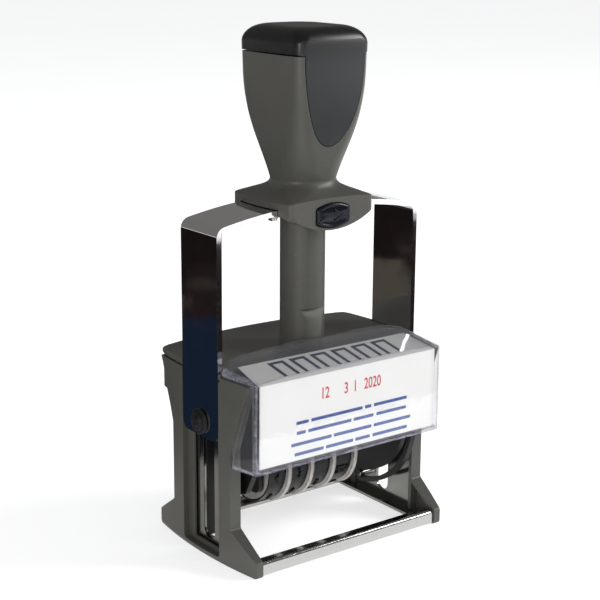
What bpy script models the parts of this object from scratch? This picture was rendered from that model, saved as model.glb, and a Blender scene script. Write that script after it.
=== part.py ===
"""Self-inking date stamp with a plastic grip, a steel yoke and a die that turns over.

The grip, collar and yoke slide down a guide tube. Two pins at the yoke's feet carry the die
carriage. A cam plate on the carriage has a curved slot that rides on a fixed stud of the
frame, so the carriage turns half a turn while it goes down, from the pad to the paper.

Metres, +Z up, the label window faces -Y. The frame stands on z = 0, and the origin is
under the middle of the object's bounding box.
"""
import math

import bmesh
import bpy
from mathutils import Vector

MM = 0.001

# Fits
GAP = 0.3 * MM              # between pieces that touch or run on each other
OVERRUN = 2.0 * MM          # how far a cutter runs past what it cuts
EDGE = 0.5 * MM             # small rounding of moulded edges

# Die and its motion
PIVOT_Z = 54.3 * MM         # height of the pivot pins when the stamp is at rest
DIE_REACH = 13.5 * MM       # pivot axis to the face of the rubber die
DIE_HALF_WIDTH = 29.0 * MM
DIE_HALF_DEPTH = 16.0 * MM
PAPER_GAP = 0.4 * MM        # die face over the table at the end of the stroke
TRAVEL = PIVOT_Z - DIE_REACH - PAPER_GAP

# Layers of the platen, down from the face of the die
DIE_RELIEF = 0.9 * MM       # height of the raised bars
RUBBER_BASE = 1.4 * MM
PLATEN_WALL = 2.7 * MM
PLATEN_BORDER = 1.0 * MM    # platen past the rubber, front and rear
PLATEN_TOP = DIE_REACH - DIE_RELIEF - RUBBER_BASE - GAP
PLATEN_BOTTOM = PLATEN_TOP - PLATEN_WALL
DIE_BAR_WIDTH = 1.9 * MM
DIE_BAR_PITCH = 2.9 * MM
DIE_BAR_INSETS = (8.0 * MM, 5.0 * MM, 4.5 * MM)
TITLE_BAR = 6.0 * MM
TITLE_INSET = 9.0 * MM

# End plates of the carriage, and the stud that turns it
DIE_MARGIN = 6.8 * MM       # end of the rubber to the end plate
CHEEK_INNER = DIE_HALF_WIDTH + DIE_MARGIN
CHEEK_WALL = 2.5 * MM
CHEEK_TOP = PLATEN_TOP - EDGE
CHEEK_SCREW_INSET = 4.8 * MM
CAM_WALL = 1.9 * MM         # wall round the cam's slot
STUD_Y = 5.4 * MM           # the fixed stud, behind the pivot axis
STUD_DROP = 42.5 * MM       # the stud below the pivot axis at rest
STUD_RADIUS = 1.3 * MM
STUD_PROUD = 0.7 * MM       # the stud past the cam plate

# Date bands and thumbwheels
WHEEL_DROP = 22.2 * MM      # wheel axle below the pivot axis
WHEEL_RADIUS = 16.8 * MM
WHEEL_RIM = 1.8 * MM
WHEEL_PITCH = 11.0 * MM
WHEEL_SET = 18.0 * MM       # first wheel's rim from the left end plate
KNURL_DEPTH = 0.45 * MM
RIM_STEP = 2.2 * MM         # drum below the rim
DRUM_RADIUS = WHEEL_RADIUS - RIM_STEP
DRUM_WIDTH = WHEEL_PITCH - WHEEL_RIM - 2 * GAP
AXLE_RADIUS = 1.9 * MM
AXLE_HEAD = 3.4 * MM
AXLE_HEAD_WIDTH = 1.0 * MM
BAND_WALL = 1.2 * MM
ANVIL_HALF = 3.4 * MM
ANVIL_HEIGHT = 4.6 * MM
ANVIL_ROUND = 1.2 * MM
BAND_SLANT = 1.5 * MM       # room for the bands' slant in the platen's window
DATE_HALF = ANVIL_HALF + GAP + BAND_WALL + GAP
PLATEN_WINDOW = DATE_HALF + BAND_SLANT
BRACKET_WALL = 2.4 * MM
BRACKET_HALF = 12.5 * MM
BRACKET_BELOW = 8.8 * MM    # bracket below the wheel axle
BRACKET_ROUND = 3.0 * MM

# Layers of the sides, from the carriage outwards
SIDE_ROOM = 5.3 * MM        # cam plate to steel plate
PLATE_INNER = CHEEK_INNER + CHEEK_WALL + SIDE_ROOM
PLATE_WALL = 1.3 * MM
PANEL_LAP = 0.4 * MM        # panel past the inner face of the steel plate
PANEL_INNER = PLATE_INNER - PANEL_LAP
POCKET_FLOOR = PLATE_INNER + PLATE_WALL + GAP
CHANNEL_WALL = 1.0 * MM
CHANNEL_FLOOR = POCKET_FLOOR + CHANNEL_WALL
LEG_ROOM = 0.4 * MM         # yoke's leg over the channel's floor
STRAP_WALL = 2.0 * MM
LEG_OUTER = CHANNEL_FLOOR + LEG_ROOM + STRAP_WALL
LEG_SINK = 0.6 * MM         # yoke's leg below the panel's outer face
PANEL_HALF = LEG_OUTER + LEG_SINK
BOW_RADIUS = 198.0 * MM     # plan radius of the panels' outer faces

# Depths of the sides, from the yoke outwards
STRAP_HALF = 12.3 * MM
PLATE_BORDER = 5.0 * MM
PLATE_HALF = STRAP_HALF + PLATE_BORDER
LEG_BORDER = 2.0 * MM
LEG_FRONT = PLATE_HALF + LEG_BORDER
REAR_BORDER = 3.6 * MM
LEG_REAR = PLATE_HALF + REAR_BORDER
TOE_LENGTH = 15.0 * MM
TOE_REACH = LEG_FRONT + TOE_LENGTH
BROW_SLANT = 10.4 * MM      # upper end of the slanted front edge, past the leg
BROW_FRONT = LEG_FRONT + BROW_SLANT
DECK_LEAD = 0.9 * MM
DECK_FRONT = STRAP_HALF + DECK_LEAD
HIP_FLARE = 10.6 * MM       # rear corner of the top, past the leg
DECK_CORNER_Y = LEG_REAR + HIP_FLARE
BACK_BOW = 6.1 * MM
DECK_REAR = DECK_CORNER_Y + BACK_BOW

# Side panels
TOE_TOP = 6.3 * MM
KNEE_Z = 15.3 * MM          # where the foot flares out of the leg
WAIST_Z = 47.7 * MM         # lower end of the slanted front edge
REAR_WAIST_Z = 48.1 * MM
FOOT_ROUND = 1.2 * MM
CHANNEL_BOTTOM = 1.8 * MM
CHANNEL_ROUND = 1.5 * MM
WINDOW_HALF = 8.5 * MM      # opening in the channel's floor
WINDOW_BOTTOM = 3.5 * MM
TOE_WALL = 1.6 * MM         # walls round the hollow of a foot

# Housing over the pad
DECK_WALL = 3.0 * MM
DECK_ROUND = 1.1 * MM
CORNER_ROUND = 3.5 * MM
BROW_DROP = 1.5 * MM        # top of the panels below the deck
HIP_DROP = 15.8 * MM        # lower edge of the back wall below the deck
BACK_WALL = 2.0 * MM
APRON_PROUD = 1.2 * MM      # apron that carries the card, in front of the panels
APRON_FRONT = BROW_FRONT + APRON_PROUD
APRON_WALL = 1.0 * MM
SHELF_WALL = 1.2 * MM
LEDGE_WALL = 1.0 * MM       # webs and ledges that carry the pad tray
LEDGE_LAP = 2.1 * MM
LEDGE_LEAD = 2.2 * MM

# Ink pad
PAD_BORDER = 1.6 * MM       # pad past the ends of the die
PAD_LEAD = 1.0 * MM         # pad past the front and rear of the die
PAD_HALF_WIDTH = DIE_HALF_WIDTH + PAD_BORDER
PAD_HALF_DEPTH = DIE_HALF_DEPTH + PAD_LEAD
PAD_THICKNESS = 3.3 * MM
TRAY_SIDE = 2.7 * MM
TRAY_WALL = 1.4 * MM
TRAY_ROOF = 1.1 * MM
TRAY_GRIP_WALL = 2.0 * MM
TRAY_HALF_WIDTH = PAD_HALF_WIDTH + GAP + TRAY_SIDE

# Pivot pins
PIN_HEAD = 5.0 * MM
PIN_STEP = 3.6 * MM
PIN_NUB = 1.9 * MM
PIN_HEAD_LIFTS = (1.1 * MM, 2.0 * MM, 2.7 * MM)
PIN_SHANK = 2.3 * MM
PIN_SHOULDER = 3.4 * MM
PIN_TIP = 1.9 * MM

# Steel frame
SLOT_PLAY = 0.4 * MM        # round the pin's shoulder
SLOT_HALF = PIN_SHOULDER + SLOT_PLAY
SLOT_BOTTOM = 4.4 * MM
SLOT_TOP = PIVOT_Z + SLOT_HALF + EDGE
PLATE_RIM = 1.4 * MM        # plate above its slot
PLATE_TOP = SLOT_TOP + PLATE_RIM
POCKET_ROOM = 1.0 * MM
POCKET_TOP = PLATE_TOP + POCKET_ROOM
RAIL_WIDTH = 4.8 * MM       # flange along the foot of a side plate
RAIL_BOTTOM = 0.6 * MM
RAIL_WALL = 1.2 * MM
BAR_TOP = 5.9 * MM
BAR_WALL = 1.0 * MM
FRONT_BAR_SET = 0.8 * MM    # front bar behind the toes
FRONT_BAR_FACE = TOE_REACH - FRONT_BAR_SET
FRONT_BAR_DEPTH = 4.3 * MM
REAR_BAR_SET = 5.1 * MM
REAR_BAR_FACE = TOE_REACH - REAR_BAR_SET
REAR_BAR_DEPTH = 6.0 * MM
REAR_BAR_HEM = 2.0 * MM
PLATE_SCREW_INSET = 2.9 * MM
PLATE_SCREW_Y = PLATE_HALF - PLATE_SCREW_INSET
PLATE_SCREW_LOW = 9.0 * MM
SCREW_SHANK = 1.1 * MM
SCREW_HEAD = 2.1 * MM
SCREW_HEAD_HEIGHT = 1.1 * MM
SCREW_DEPTH = 2.2 * MM
SCREW_FIT = 0.25 * MM       # clearance round a screw's shank

# Yoke
YOKE_HEIGHT = 81.9 * MM     # pivot axis to the top of the strap
STRAP_TOP = PIVOT_Z + YOKE_HEIGHT
STRAP_FALL = 4.3 * MM       # strap's top falls this far to where it bends
BEND_INSET = 4.1 * MM
STRAP_BEND = 4.2 * MM
STRAP_ARC_HALF = LEG_OUTER - BEND_INSET
STRAP_ARC = (STRAP_ARC_HALF ** 2 + STRAP_FALL ** 2) / (2 * STRAP_FALL)
LEG_BELOW = 5.9 * MM        # leg below the pivot axis
LEG_BOTTOM = PIVOT_Z - LEG_BELOW
LEG_ROUND = 3.6 * MM

# Handle
COLLAR_RISE = 2.7 * MM      # collar's upper edge over the strap
COLLAR_TOP = STRAP_TOP + COLLAR_RISE
SKIRT_HEIGHT = 12.3 * MM    # from the upper edge to the lowest point of the skirt
SKIRT_END_HEIGHT = 6.1 * MM
COLLAR_BAND = 2.4 * MM      # upright wall over the skirt, up to the curved upper edge
COLLAR_BOTTOM = COLLAR_TOP - SKIRT_HEIGHT
COLLAR_HALF_X = 19.8 * MM
COLLAR_HALF_Y = 19.0 * MM
COLLAR_CORNER = 1.8 * MM
COLLAR_BOW = 2.2 * MM       # the ends bulge this far
NECK_RISE = 5.6 * MM
NECK_Z = COLLAR_TOP + NECK_RISE
GRIP_LENGTH = 48.3 * MM
CAP_PARTING = NECK_Z + GRIP_LENGTH
CAP_HEIGHT = 10.1 * MM
GRIP_TOP = CAP_PARTING + CAP_HEIGHT
CAP_ROUND = 6.2 * MM
CAP_WALL = 2.6 * MM
CAP_PROUD = 0.2 * MM        # cap past the grip all round
GRIP_HALF_X = 16.8 * MM
GRIP_HALF_Y = 19.3 * MM
GRIP_CORNER = 3.6 * MM
GRIP_BOW = 0.4 * MM         # bulge of the sides
GRIP_FRONT_BOW = 0.9 * MM   # bulge of the front and the back
BORE_ROOF = 2.8 * MM
BORE_TOP = CAP_PARTING - BORE_ROOF
INSERT_HALF = 13.8 * MM
INSERT_STEP = 1.7 * MM      # the inlay is wider by this on the cap
INSERT_RISE = 5.5 * MM
INSERT_LENGTH = 34.5 * MM
INSERT_DEPTH = 1.3 * MM
INSERT_POWER = 2.0          # how square the inlay's tongue is
YOKE_SCREW_X = 19.2 * MM
YOKE_SCREW_Y = 6.5 * MM
YOKE_SCREW_HEAD = 2.4 * MM
YOKE_SCREW_BITE = 0.9 * MM  # into the collar

# Guide tube
TUBE_RADIUS = 8.94 * MM
TUBE_WALL = 3.34 * MM
TUBE_BORE = TUBE_RADIUS - TUBE_WALL
TUBE_FLOOR = 2.0 * MM
TUBE_SHOULDER = 1.7 * MM    # the spigot in the deck is thinner by this
TUBE_ROOM = 2.6 * MM        # tube's end to the bore's end when the grip is down
TUBE_TOP = BORE_TOP - TRAVEL - TUBE_ROOM
TUBE_HOLE_ROOM = 0.7 * MM
STRAP_HOLE = TUBE_RADIUS + TUBE_HOLE_ROOM
NECK_WALL = 3.8 * MM
NECK_RADIUS = TUBE_RADIUS + NECK_WALL
NECK_FLAT = 0.4 * MM        # half width of the flats that are left on the round neck
NECK_CORNER = NECK_RADIUS - NECK_FLAT

# Lock button and the notches it drops into
BUTTON_HALF_X = 7.9 * MM
BUTTON_BORDER = 1.9 * MM    # button below the collar's upper edge
BUTTON_HEIGHT = 9.4 * MM
BUTTON_BARREL = 1.3 * MM
BUTTON_ROUND = 1.3 * MM
BUTTON_PROUD = 0.8 * MM
BUTTON_DEPTH = 3.0 * MM
BUTTON_TRAVEL = 1.2 * MM
BUTTON_Z = COLLAR_TOP - BUTTON_BORDER - BUTTON_HEIGHT / 2
RECESS_DEPTH = 4.6 * MM
TONGUE_HALF_X = 5.0 * MM
TONGUE_HEIGHT = 3.6 * MM
TONGUE_RISE = 0.3 * MM
LATCH_TOP = BUTTON_Z + TONGUE_RISE
NOTCH_DEPTH = 2.3 * MM
NOTCH_HEIGHT = 5.7 * MM
PAD_CHANGE_STROKE = 4.2 * MM
LOCK_SHORT = 1.2 * MM       # the lock holds the grip this far above the end of its stroke

# Return spring
SPRING_WIRE = 0.6 * MM      # radius of the wire
SPRING_PLAY = 0.5 * MM
SPRING_RADIUS = TUBE_BORE - SPRING_WIRE - SPRING_PLAY
SPRING_TURNS = 17
SPRING_POINTS = 10

# Clear window and card
CARD_WALL = 0.3 * MM
COVER_WALL = 0.9 * MM
COVER_FRONT = APRON_FRONT + GAP + CARD_WALL + GAP + COVER_WALL
COVER_INSET = 1.05 * MM     # the cover's sides lie this far inside the panels' bow
COVER_BOTTOM = 40.8 * MM
COVER_LIP_DEPTH = 4.0 * MM
COVER_TUBE_ROOM = 1.1 * MM
COVER_REAR = TUBE_RADIUS + COVER_TUBE_ROOM
CREASE_RISE = 1.1 * MM      # front crease over the card's fold, at its ends
CREASE_ARCH = 1.6 * MM
LIP_RISE = 0.4 * MM         # rear lip over the deck, at its ends
LIP_ARCH = 5.3 * MM
ARCH_POWER = 6              # how flat the arched edges are before they drop at the ends
LIP_NOTCH = 1.0 * MM
LIP_NOTCH_HALF = 5.5 * MM
CARD_ROOM = 1.5 * MM
CARD_LIFT = 0.8 * MM
CARD_REAR = 14.5 * MM
CARD_SLOPE = 1.6 * MM       # rear edge of the card's fold over the deck
CARD_TAPER = 2.0 * MM
APRON_LIFT = 2.2 * MM

ROUND_STEPS = 40
ARC_STEPS = 5
SIDE_STEPS = 5
PANEL_STEPS = 16
KNURL_TEETH = 54
SLOT_STEPS = 30
SMOOTH_ANGLE = 40
BAR_SMOOTH_ANGLE = 30

TAUPE = (0.066, 0.064, 0.055)
BLACK = (0.009, 0.009, 0.010)
CHARCOAL = (0.056, 0.063, 0.068)


def swing_rise(reach, half_depth):
    """How far a corner of the die rises over its rest plane as the carriage starts to turn."""
    angles = [math.pi * step / 180 for step in range(60)]
    lifts = [reach * math.cos(a) + half_depth * math.sin(a) - TRAVEL / math.pi * a - reach
             for a in angles]
    return max(lifts)


# Heights that follow from the swing
PAD_FACE = PIVOT_Z + DIE_REACH + swing_rise(DIE_REACH, DIE_HALF_DEPTH) + GAP
TRAY_TOP = PAD_FACE + PAD_THICKNESS + GAP + TRAY_ROOF
UNDER_DECK = TRAY_TOP + GAP
DECK_Z = UNDER_DECK + DECK_WALL
BROW_Z = DECK_Z - BROW_DROP
HIP_Z = DECK_Z - HIP_DROP
AXIS_Y = -(DECK_REAR - TOE_REACH) / 2     # the press axis, so that the box is centred


# Scene and materials

def clear_scene():
    for thing in list(bpy.data.objects):
        bpy.data.objects.remove(thing, do_unlink=True)


def finish(name, colour, roughness, metallic=0.0, alpha=1.0):
    mat = bpy.data.materials.new(name)
    mat.use_nodes = True
    shader = mat.node_tree.nodes["Principled BSDF"]
    shader.inputs["Base Color"].default_value = (*colour, 1.0)
    shader.inputs["Roughness"].default_value = roughness
    shader.inputs["Metallic"].default_value = metallic
    shader.inputs["Alpha"].default_value = alpha
    return mat


def empty(name, parent=None, at=(0, 0, 0)):
    hook = bpy.data.objects.new(name, None)
    bpy.context.collection.objects.link(hook)
    hook.parent = parent
    hook.location = at
    return hook


def piece(name, mesh, parent, mat=None, smooth=None):
    """Puts a bmesh into the scene as an object with outward faces."""
    bmesh.ops.recalc_face_normals(mesh, faces=mesh.faces)
    data = bpy.data.meshes.new(name)
    mesh.to_mesh(data)
    mesh.free()
    if smooth is not None:
        data.shade_smooth()
        data.set_sharp_from_angle(angle=math.radians(smooth))
    thing = bpy.data.objects.new(name, data)
    bpy.context.collection.objects.link(thing)
    thing.parent = parent
    if mat:
        data.materials.append(mat)
    return thing


def combine(target, tool, operation):
    """Adds a Boolean to the target and hides its tool."""
    tool.hide_render = True
    tool.display_type = "WIRE"
    step = target.modifiers.new(tool.name, "BOOLEAN")
    step.operation = operation
    step.solver = "EXACT"
    step.object = tool
    return target


def cut(target, tool):
    return combine(target, tool, "DIFFERENCE")


def fuse(target, tool):
    return combine(target, tool, "UNION")


def keep(target, tool):
    return combine(target, tool, "INTERSECT")


def soften(target, width, steps=2, angle=40):
    """Rounds the sharp edges of a piece."""
    step = target.modifiers.new("soft_edges", "BEVEL")
    step.width = width
    step.segments = steps
    step.limit_method = "ANGLE"
    step.angle_limit = math.radians(angle)
    step.harden_normals = False
    return target


# Shapes

def arc(centre, radius, start, end, steps):
    """Points on an arc, angles in degrees."""
    points = []
    for step in range(steps + 1):
        turn = math.radians(start + (end - start) * step / steps)
        points.append((centre[0] + radius * math.cos(turn), centre[1] + radius * math.sin(turn)))
    return points


def rounded(points, radius, steps=ARC_STEPS):
    """A closed outline with every corner rounded, or each by its own radius."""
    count = len(points)
    radii = radius if isinstance(radius, (list, tuple)) else [radius] * count
    outline = []
    for index in range(count):
        corner = Vector(points[index])
        before = Vector(points[index - 1]) - corner
        after = Vector(points[(index + 1) % count]) - corner
        angle = before.angle(after)
        size = radii[index]
        if size <= 0 or angle > math.radians(178):
            outline.append(tuple(corner))
            continue
        reach = size / math.tan(angle / 2)
        reach = min(reach, before.length * 0.49, after.length * 0.49)
        size = reach * math.tan(angle / 2)
        bisector = (before.normalized() + after.normalized()).normalized()
        centre = corner + bisector * (size / math.sin(angle / 2))
        first = corner + before.normalized() * reach - centre
        last = corner + after.normalized() * reach - centre
        sweep = first.angle_signed(last)
        for step in range(steps + 1):
            turn = -sweep * step / steps
            x = first.x * math.cos(turn) - first.y * math.sin(turn)
            y = first.x * math.sin(turn) + first.y * math.cos(turn)
            outline.append((centre.x + x, centre.y + y))
    return outline


def rectangle(low_u, high_u, low_v, high_v):
    return [(low_u, low_v), (high_u, low_v), (high_u, high_v), (low_u, high_v)]


def circle(radius, steps=ROUND_STEPS, centre=(0, 0)):
    return arc(centre, radius, 0, 360, steps)[:-1]


def along(axis, u, v, t):
    if axis == "X":
        return Vector((t, u, v))
    if axis == "Y":
        return Vector((u, t, v))
    return Vector((u, v, t))


def skin(rings, closed=False):
    """Joins rings of points with faces, and caps the two ends unless the rings close."""
    mesh = bmesh.new()
    rows = [[mesh.verts.new(point) for point in ring] for ring in rings]
    count = len(rows[0])
    pairs = list(zip(rows, rows[1:]))
    if closed:
        pairs.append((rows[-1], rows[0]))
    for lower, upper in pairs:
        for index in range(count):
            after = (index + 1) % count
            mesh.faces.new((lower[index], lower[after], upper[after], upper[index]))
    if not closed:
        mesh.faces.new(rows[0])
        mesh.faces.new(rows[-1])
    return mesh


def prism(outline, low, high, axis):
    """An outline extruded along an axis."""
    return skin([[along(axis, u, v, low) for u, v in outline],
                 [along(axis, u, v, high) for u, v in outline]])


def turned(profile, axis="Z", steps=ROUND_STEPS, centre=(0, 0)):
    """A turned solid: the profile is a list of radius and place along the axis."""
    rings = []
    for radius, t in profile:
        ring = circle(radius, steps)
        rings.append([along(axis, u + centre[0], v + centre[1], t) for u, v in ring])
    return skin(rings)


def box(low, high):
    return prism(rectangle(low[0], high[0], low[1], high[1]), low[2], high[2], "Z")


def bow_x(y, inset=0.0):
    """Half width of the stamp at a depth: the panels' outer faces are arcs in plan."""
    return PANEL_HALF - inset - (BOW_RADIUS - math.sqrt(BOW_RADIUS ** 2 - y ** 2))


def barrel(inset, reach, low, high):
    """The space between the two bowed sides, as a solid to intersect with."""
    places = [reach * (2 * step / PANEL_STEPS - 1) for step in range(PANEL_STEPS + 1)]
    outline = [(bow_x(y, inset), y) for y in places]
    outline += [(-bow_x(y, inset), y) for y in reversed(places)]
    return prism(outline, low, high, "Z")


def mirrored(points, side):
    return [(side * x, y) for x, y in points]


# Frame

# Rear edge of a panel from the waist up: shares of the hip's flare and of the height to the deck
HIP_SHARES = ((1.0, 1.0), (0.85, 0.9), (0.735, 0.79), (0.735, 0.5), (0.48, 0.49), (0.2, 0.232),
              (0.0, 0.0))


def panel_outline():
    """Side view of a panel as depth and height, from the front foot round to the rear."""
    top = UNDER_DECK - GAP
    front = [(-TOE_REACH, 0), (-TOE_REACH, TOE_TOP), (-LEG_FRONT, KNEE_Z),
             (-LEG_FRONT, WAIST_Z), (-BROW_FRONT, BROW_Z), (-DECK_FRONT - GAP, BROW_Z),
             (-DECK_FRONT - GAP, top)]
    hip = [(LEG_REAR + HIP_FLARE * depth, REAR_WAIST_Z + (top - REAR_WAIST_Z) * height)
           for depth, height in HIP_SHARES]
    foot = [(LEG_REAR, KNEE_Z), (TOE_REACH, TOE_TOP), (TOE_REACH, 0)]
    radii = [FOOT_ROUND] * 4 + [EDGE, 0, 0]
    radii += [EDGE, CORNER_ROUND, CORNER_ROUND, EDGE, EDGE, CORNER_ROUND, CORNER_ROUND]
    return rounded(front + hip + foot, radii + [FOOT_ROUND] * 3, 3)


def foot_hollow(direction):
    """The hollow on the inner side of a foot, front (-1) or rear (1)."""
    leg = LEG_FRONT if direction < 0 else LEG_REAR
    far = TOE_REACH - TOE_WALL
    points = [(leg, TOE_WALL), (far, TOE_WALL), (far, TOE_TOP - TOE_WALL / 2), (leg, KNEE_Z - TOE_WALL)]
    return rounded([(direction * y, z) for y, z in points], EDGE, 2)


def side_panel(name, side, parent, mat):
    """A moulded panel: bowed outer face, channel for the yoke's leg, pocket for the plate."""
    outer = side * (PANEL_HALF + OVERRUN)
    panel = piece(name, prism(panel_outline(), side * PANEL_INNER, outer, "X"), parent, mat)
    keep(panel, piece(name + "_bow", barrel(0, TOE_REACH + OVERRUN, -OVERRUN, DECK_Z), parent))
    run = STRAP_HALF + GAP
    channel = rounded(rectangle(-run, run, CHANNEL_BOTTOM, DECK_Z + OVERRUN), CHANNEL_ROUND, 3)
    cut(panel, piece(name + "_channel", prism(channel, side * CHANNEL_FLOOR, outer, "X"), parent))
    opening = rectangle(-WINDOW_HALF, WINDOW_HALF, WINDOW_BOTTOM, PLATE_TOP)
    cut(panel, piece(name + "_window", prism(opening, side * (PANEL_INNER - OVERRUN), outer, "X"), parent))
    pocket = rectangle(-PLATE_HALF - GAP, PLATE_HALF + GAP, -OVERRUN, POCKET_TOP)
    pocket_low = side * (PANEL_INNER - OVERRUN)
    cut(panel, piece(name + "_pocket", prism(pocket, pocket_low, side * POCKET_FLOOR, "X"), parent))
    for direction in (-1, 1):
        body = prism(foot_hollow(direction), pocket_low, outer, "X")
        hollow = piece(f"{name}_hollow_{direction + 1}", body, parent)
        within = barrel(TOE_WALL, TOE_REACH, -OVERRUN, KNEE_Z)
        cut(panel, keep(hollow, piece(f"{name}_hollow_bow_{direction + 1}", within, parent)))
    for level, z in plate_screw_heights():
        hole = screw_hole("X", pocket_low, side * (POCKET_FLOOR + SCREW_DEPTH), (PLATE_SCREW_Y, z))
        cut(panel, piece(f"{name}_hole_{level}", hole, parent))
    return panel


def plate_screw_heights():
    return ("low", PLATE_SCREW_LOW), ("high", PLATE_TOP - PLATE_SCREW_INSET)


def screw_hole(axis, low, high, centre):
    radius = SCREW_SHANK + SCREW_FIT
    return turned([(radius, low), (radius, high)], axis, 16, centre)


def side_plate(name, side, parent, mat, with_stud):
    """Steel plate with the pin's slot and a flange along its foot, which joins the bars."""
    sheet = rounded(rectangle(-PLATE_HALF, PLATE_HALF, RAIL_BOTTOM, PLATE_TOP), EDGE, 2)
    outer = PLATE_INNER + PLATE_WALL
    plate = piece(name, prism(sheet, side * PLATE_INNER, side * outer, "X"), parent, mat)
    inner = PLATE_HALF - GAP
    rail_inner = PLATE_INNER - RAIL_WIDTH
    joint = rectangle(-inner, inner, RAIL_BOTTOM, RAIL_BOTTOM + RAIL_WALL)
    fuse(plate, piece(name + "_flange",
                      prism(joint, side * rail_inner, side * (PLATE_INNER + PLATE_WALL / 2), "X"), parent))
    rail = rectangle(-FRONT_BAR_FACE + FRONT_BAR_DEPTH + GAP, REAR_BAR_FACE - REAR_BAR_DEPTH - GAP,
                     RAIL_BOTTOM, RAIL_BOTTOM + RAIL_WALL)
    fuse(plate, piece(name + "_rail",
                      prism(rail, side * rail_inner, side * (PANEL_INNER - GAP), "X"), parent))
    ends = SLOT_BOTTOM + SLOT_HALF, SLOT_TOP - SLOT_HALF
    slot = arc((0, ends[0]), SLOT_HALF, 180, 360, 10) + arc((0, ends[1]), SLOT_HALF, 0, 180, 10)
    through = side * (PLATE_INNER - OVERRUN), side * (PLATE_INNER + PLATE_WALL + OVERRUN)
    cut(plate, piece(name + "_slot", prism(slot, *through, "X"), parent))
    for level, z in plate_screw_heights():
        hole = screw_hole("X", *through, (PLATE_SCREW_Y, z))
        cut(plate, piece(f"{name}_hole_{level}", hole, parent))
    if with_stud:
        tip = CHEEK_INNER - STUD_PROUD
        stud = turned([(STUD_RADIUS - EDGE / 2, side * tip), (STUD_RADIUS, side * (tip + EDGE / 2)),
                       (STUD_RADIUS, side * (PLATE_INNER + PLATE_WALL / 2))],
                      "X", 24, (STUD_Y, PIVOT_Z - STUD_DROP))
        fuse(plate, piece(name + "_stud", stud, parent))
    return plate


def screw(name, seat, tip, axis, centre, parent, mat, head=SCREW_HEAD_HEIGHT):
    """Screw whose head lies on the far side of its seat from its tip."""
    out = head if seat > tip else -head
    profile = [(SCREW_SHANK, tip), (SCREW_SHANK, seat), (SCREW_HEAD, seat),
               (SCREW_HEAD, seat + out / 2), (SCREW_HEAD - EDGE, seat + out)]
    return piece(name, turned(profile, axis, 16, centre), parent, mat, SMOOTH_ANGLE)


def plate_screws(word, side, parent, mat):
    """Two screws hold a plate in its panel, with their heads inside."""
    seat = side * (PLATE_INNER - GAP)
    tip = side * (POCKET_FLOOR + SCREW_DEPTH - GAP)
    for level, z in plate_screw_heights():
        screw(f"plate_screw_{word}_{level}", seat, tip, "X", (PLATE_SCREW_Y, z), parent, mat)


def front_bar(parent, mat):
    """Rolled steel bar across the front, with its round edge up."""
    face, back = -FRONT_BAR_FACE, -FRONT_BAR_FACE + FRONT_BAR_DEPTH
    section = [(face, RAIL_BOTTOM), (face + BAR_WALL, RAIL_BOTTOM), (face + BAR_WALL, BAR_TOP - BAR_WALL),
               (back, BAR_TOP - BAR_WALL), (back, BAR_TOP), (face, BAR_TOP)]
    radii = [0, 0, EDGE, 0, 0, BAR_WALL + EDGE]
    half = PANEL_INNER - GAP
    bar = prism(rounded(section, radii, 4), -half, half, "X")
    return piece("front_bar", bar, parent, mat, BAR_SMOOTH_ANGLE)


def rear_bar(parent, mat):
    """Rolled steel bar across the rear. Its lower flange has a thick hem."""
    inner, face = REAR_BAR_FACE - REAR_BAR_DEPTH, REAR_BAR_FACE
    section = [(inner, RAIL_BOTTOM), (face, RAIL_BOTTOM), (face, BAR_TOP), (face - BAR_WALL, BAR_TOP),
               (face - BAR_WALL, RAIL_BOTTOM + REAR_BAR_HEM), (inner, RAIL_BOTTOM + REAR_BAR_HEM)]
    radii = [EDGE, EDGE, 0, 0, EDGE, EDGE]
    half = PANEL_INNER - GAP
    bar = prism(rounded(section, radii, 3), -half, half, "X")
    return piece("rear_bar", bar, parent, mat, BAR_SMOOTH_ANGLE)


# Housing

def rear_arc(inset, half, steps=12):
    """The bowed back edge of the deck, in plan, from right to left."""
    chord, rise = bow_x(DECK_CORNER_Y), DECK_REAR - DECK_CORNER_Y
    radius = (chord ** 2 + rise ** 2) / (2 * rise)
    centre = DECK_REAR - radius
    places = [half * (1 - 2 * step / steps) for step in range(steps + 1)]
    return [(x, centre + math.sqrt((radius - inset) ** 2 - x ** 2)) for x in places]


def deck_outline():
    """Plan view of the deck: bowed sides, bowed back, round rear corners."""
    places = [-DECK_FRONT + (DECK_CORNER_Y - CORNER_ROUND + DECK_FRONT) * step / 8 for step in range(9)]
    right = [(bow_x(y), y) for y in places]
    back = rear_arc(0, bow_x(DECK_CORNER_Y) - CORNER_ROUND)
    left = [(-x, y) for x, y in reversed(right)]
    corner = (bow_x(DECK_CORNER_Y) - EDGE, DECK_CORNER_Y - EDGE)
    return right + [corner] + back + [(-corner[0], corner[1])] + left


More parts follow.
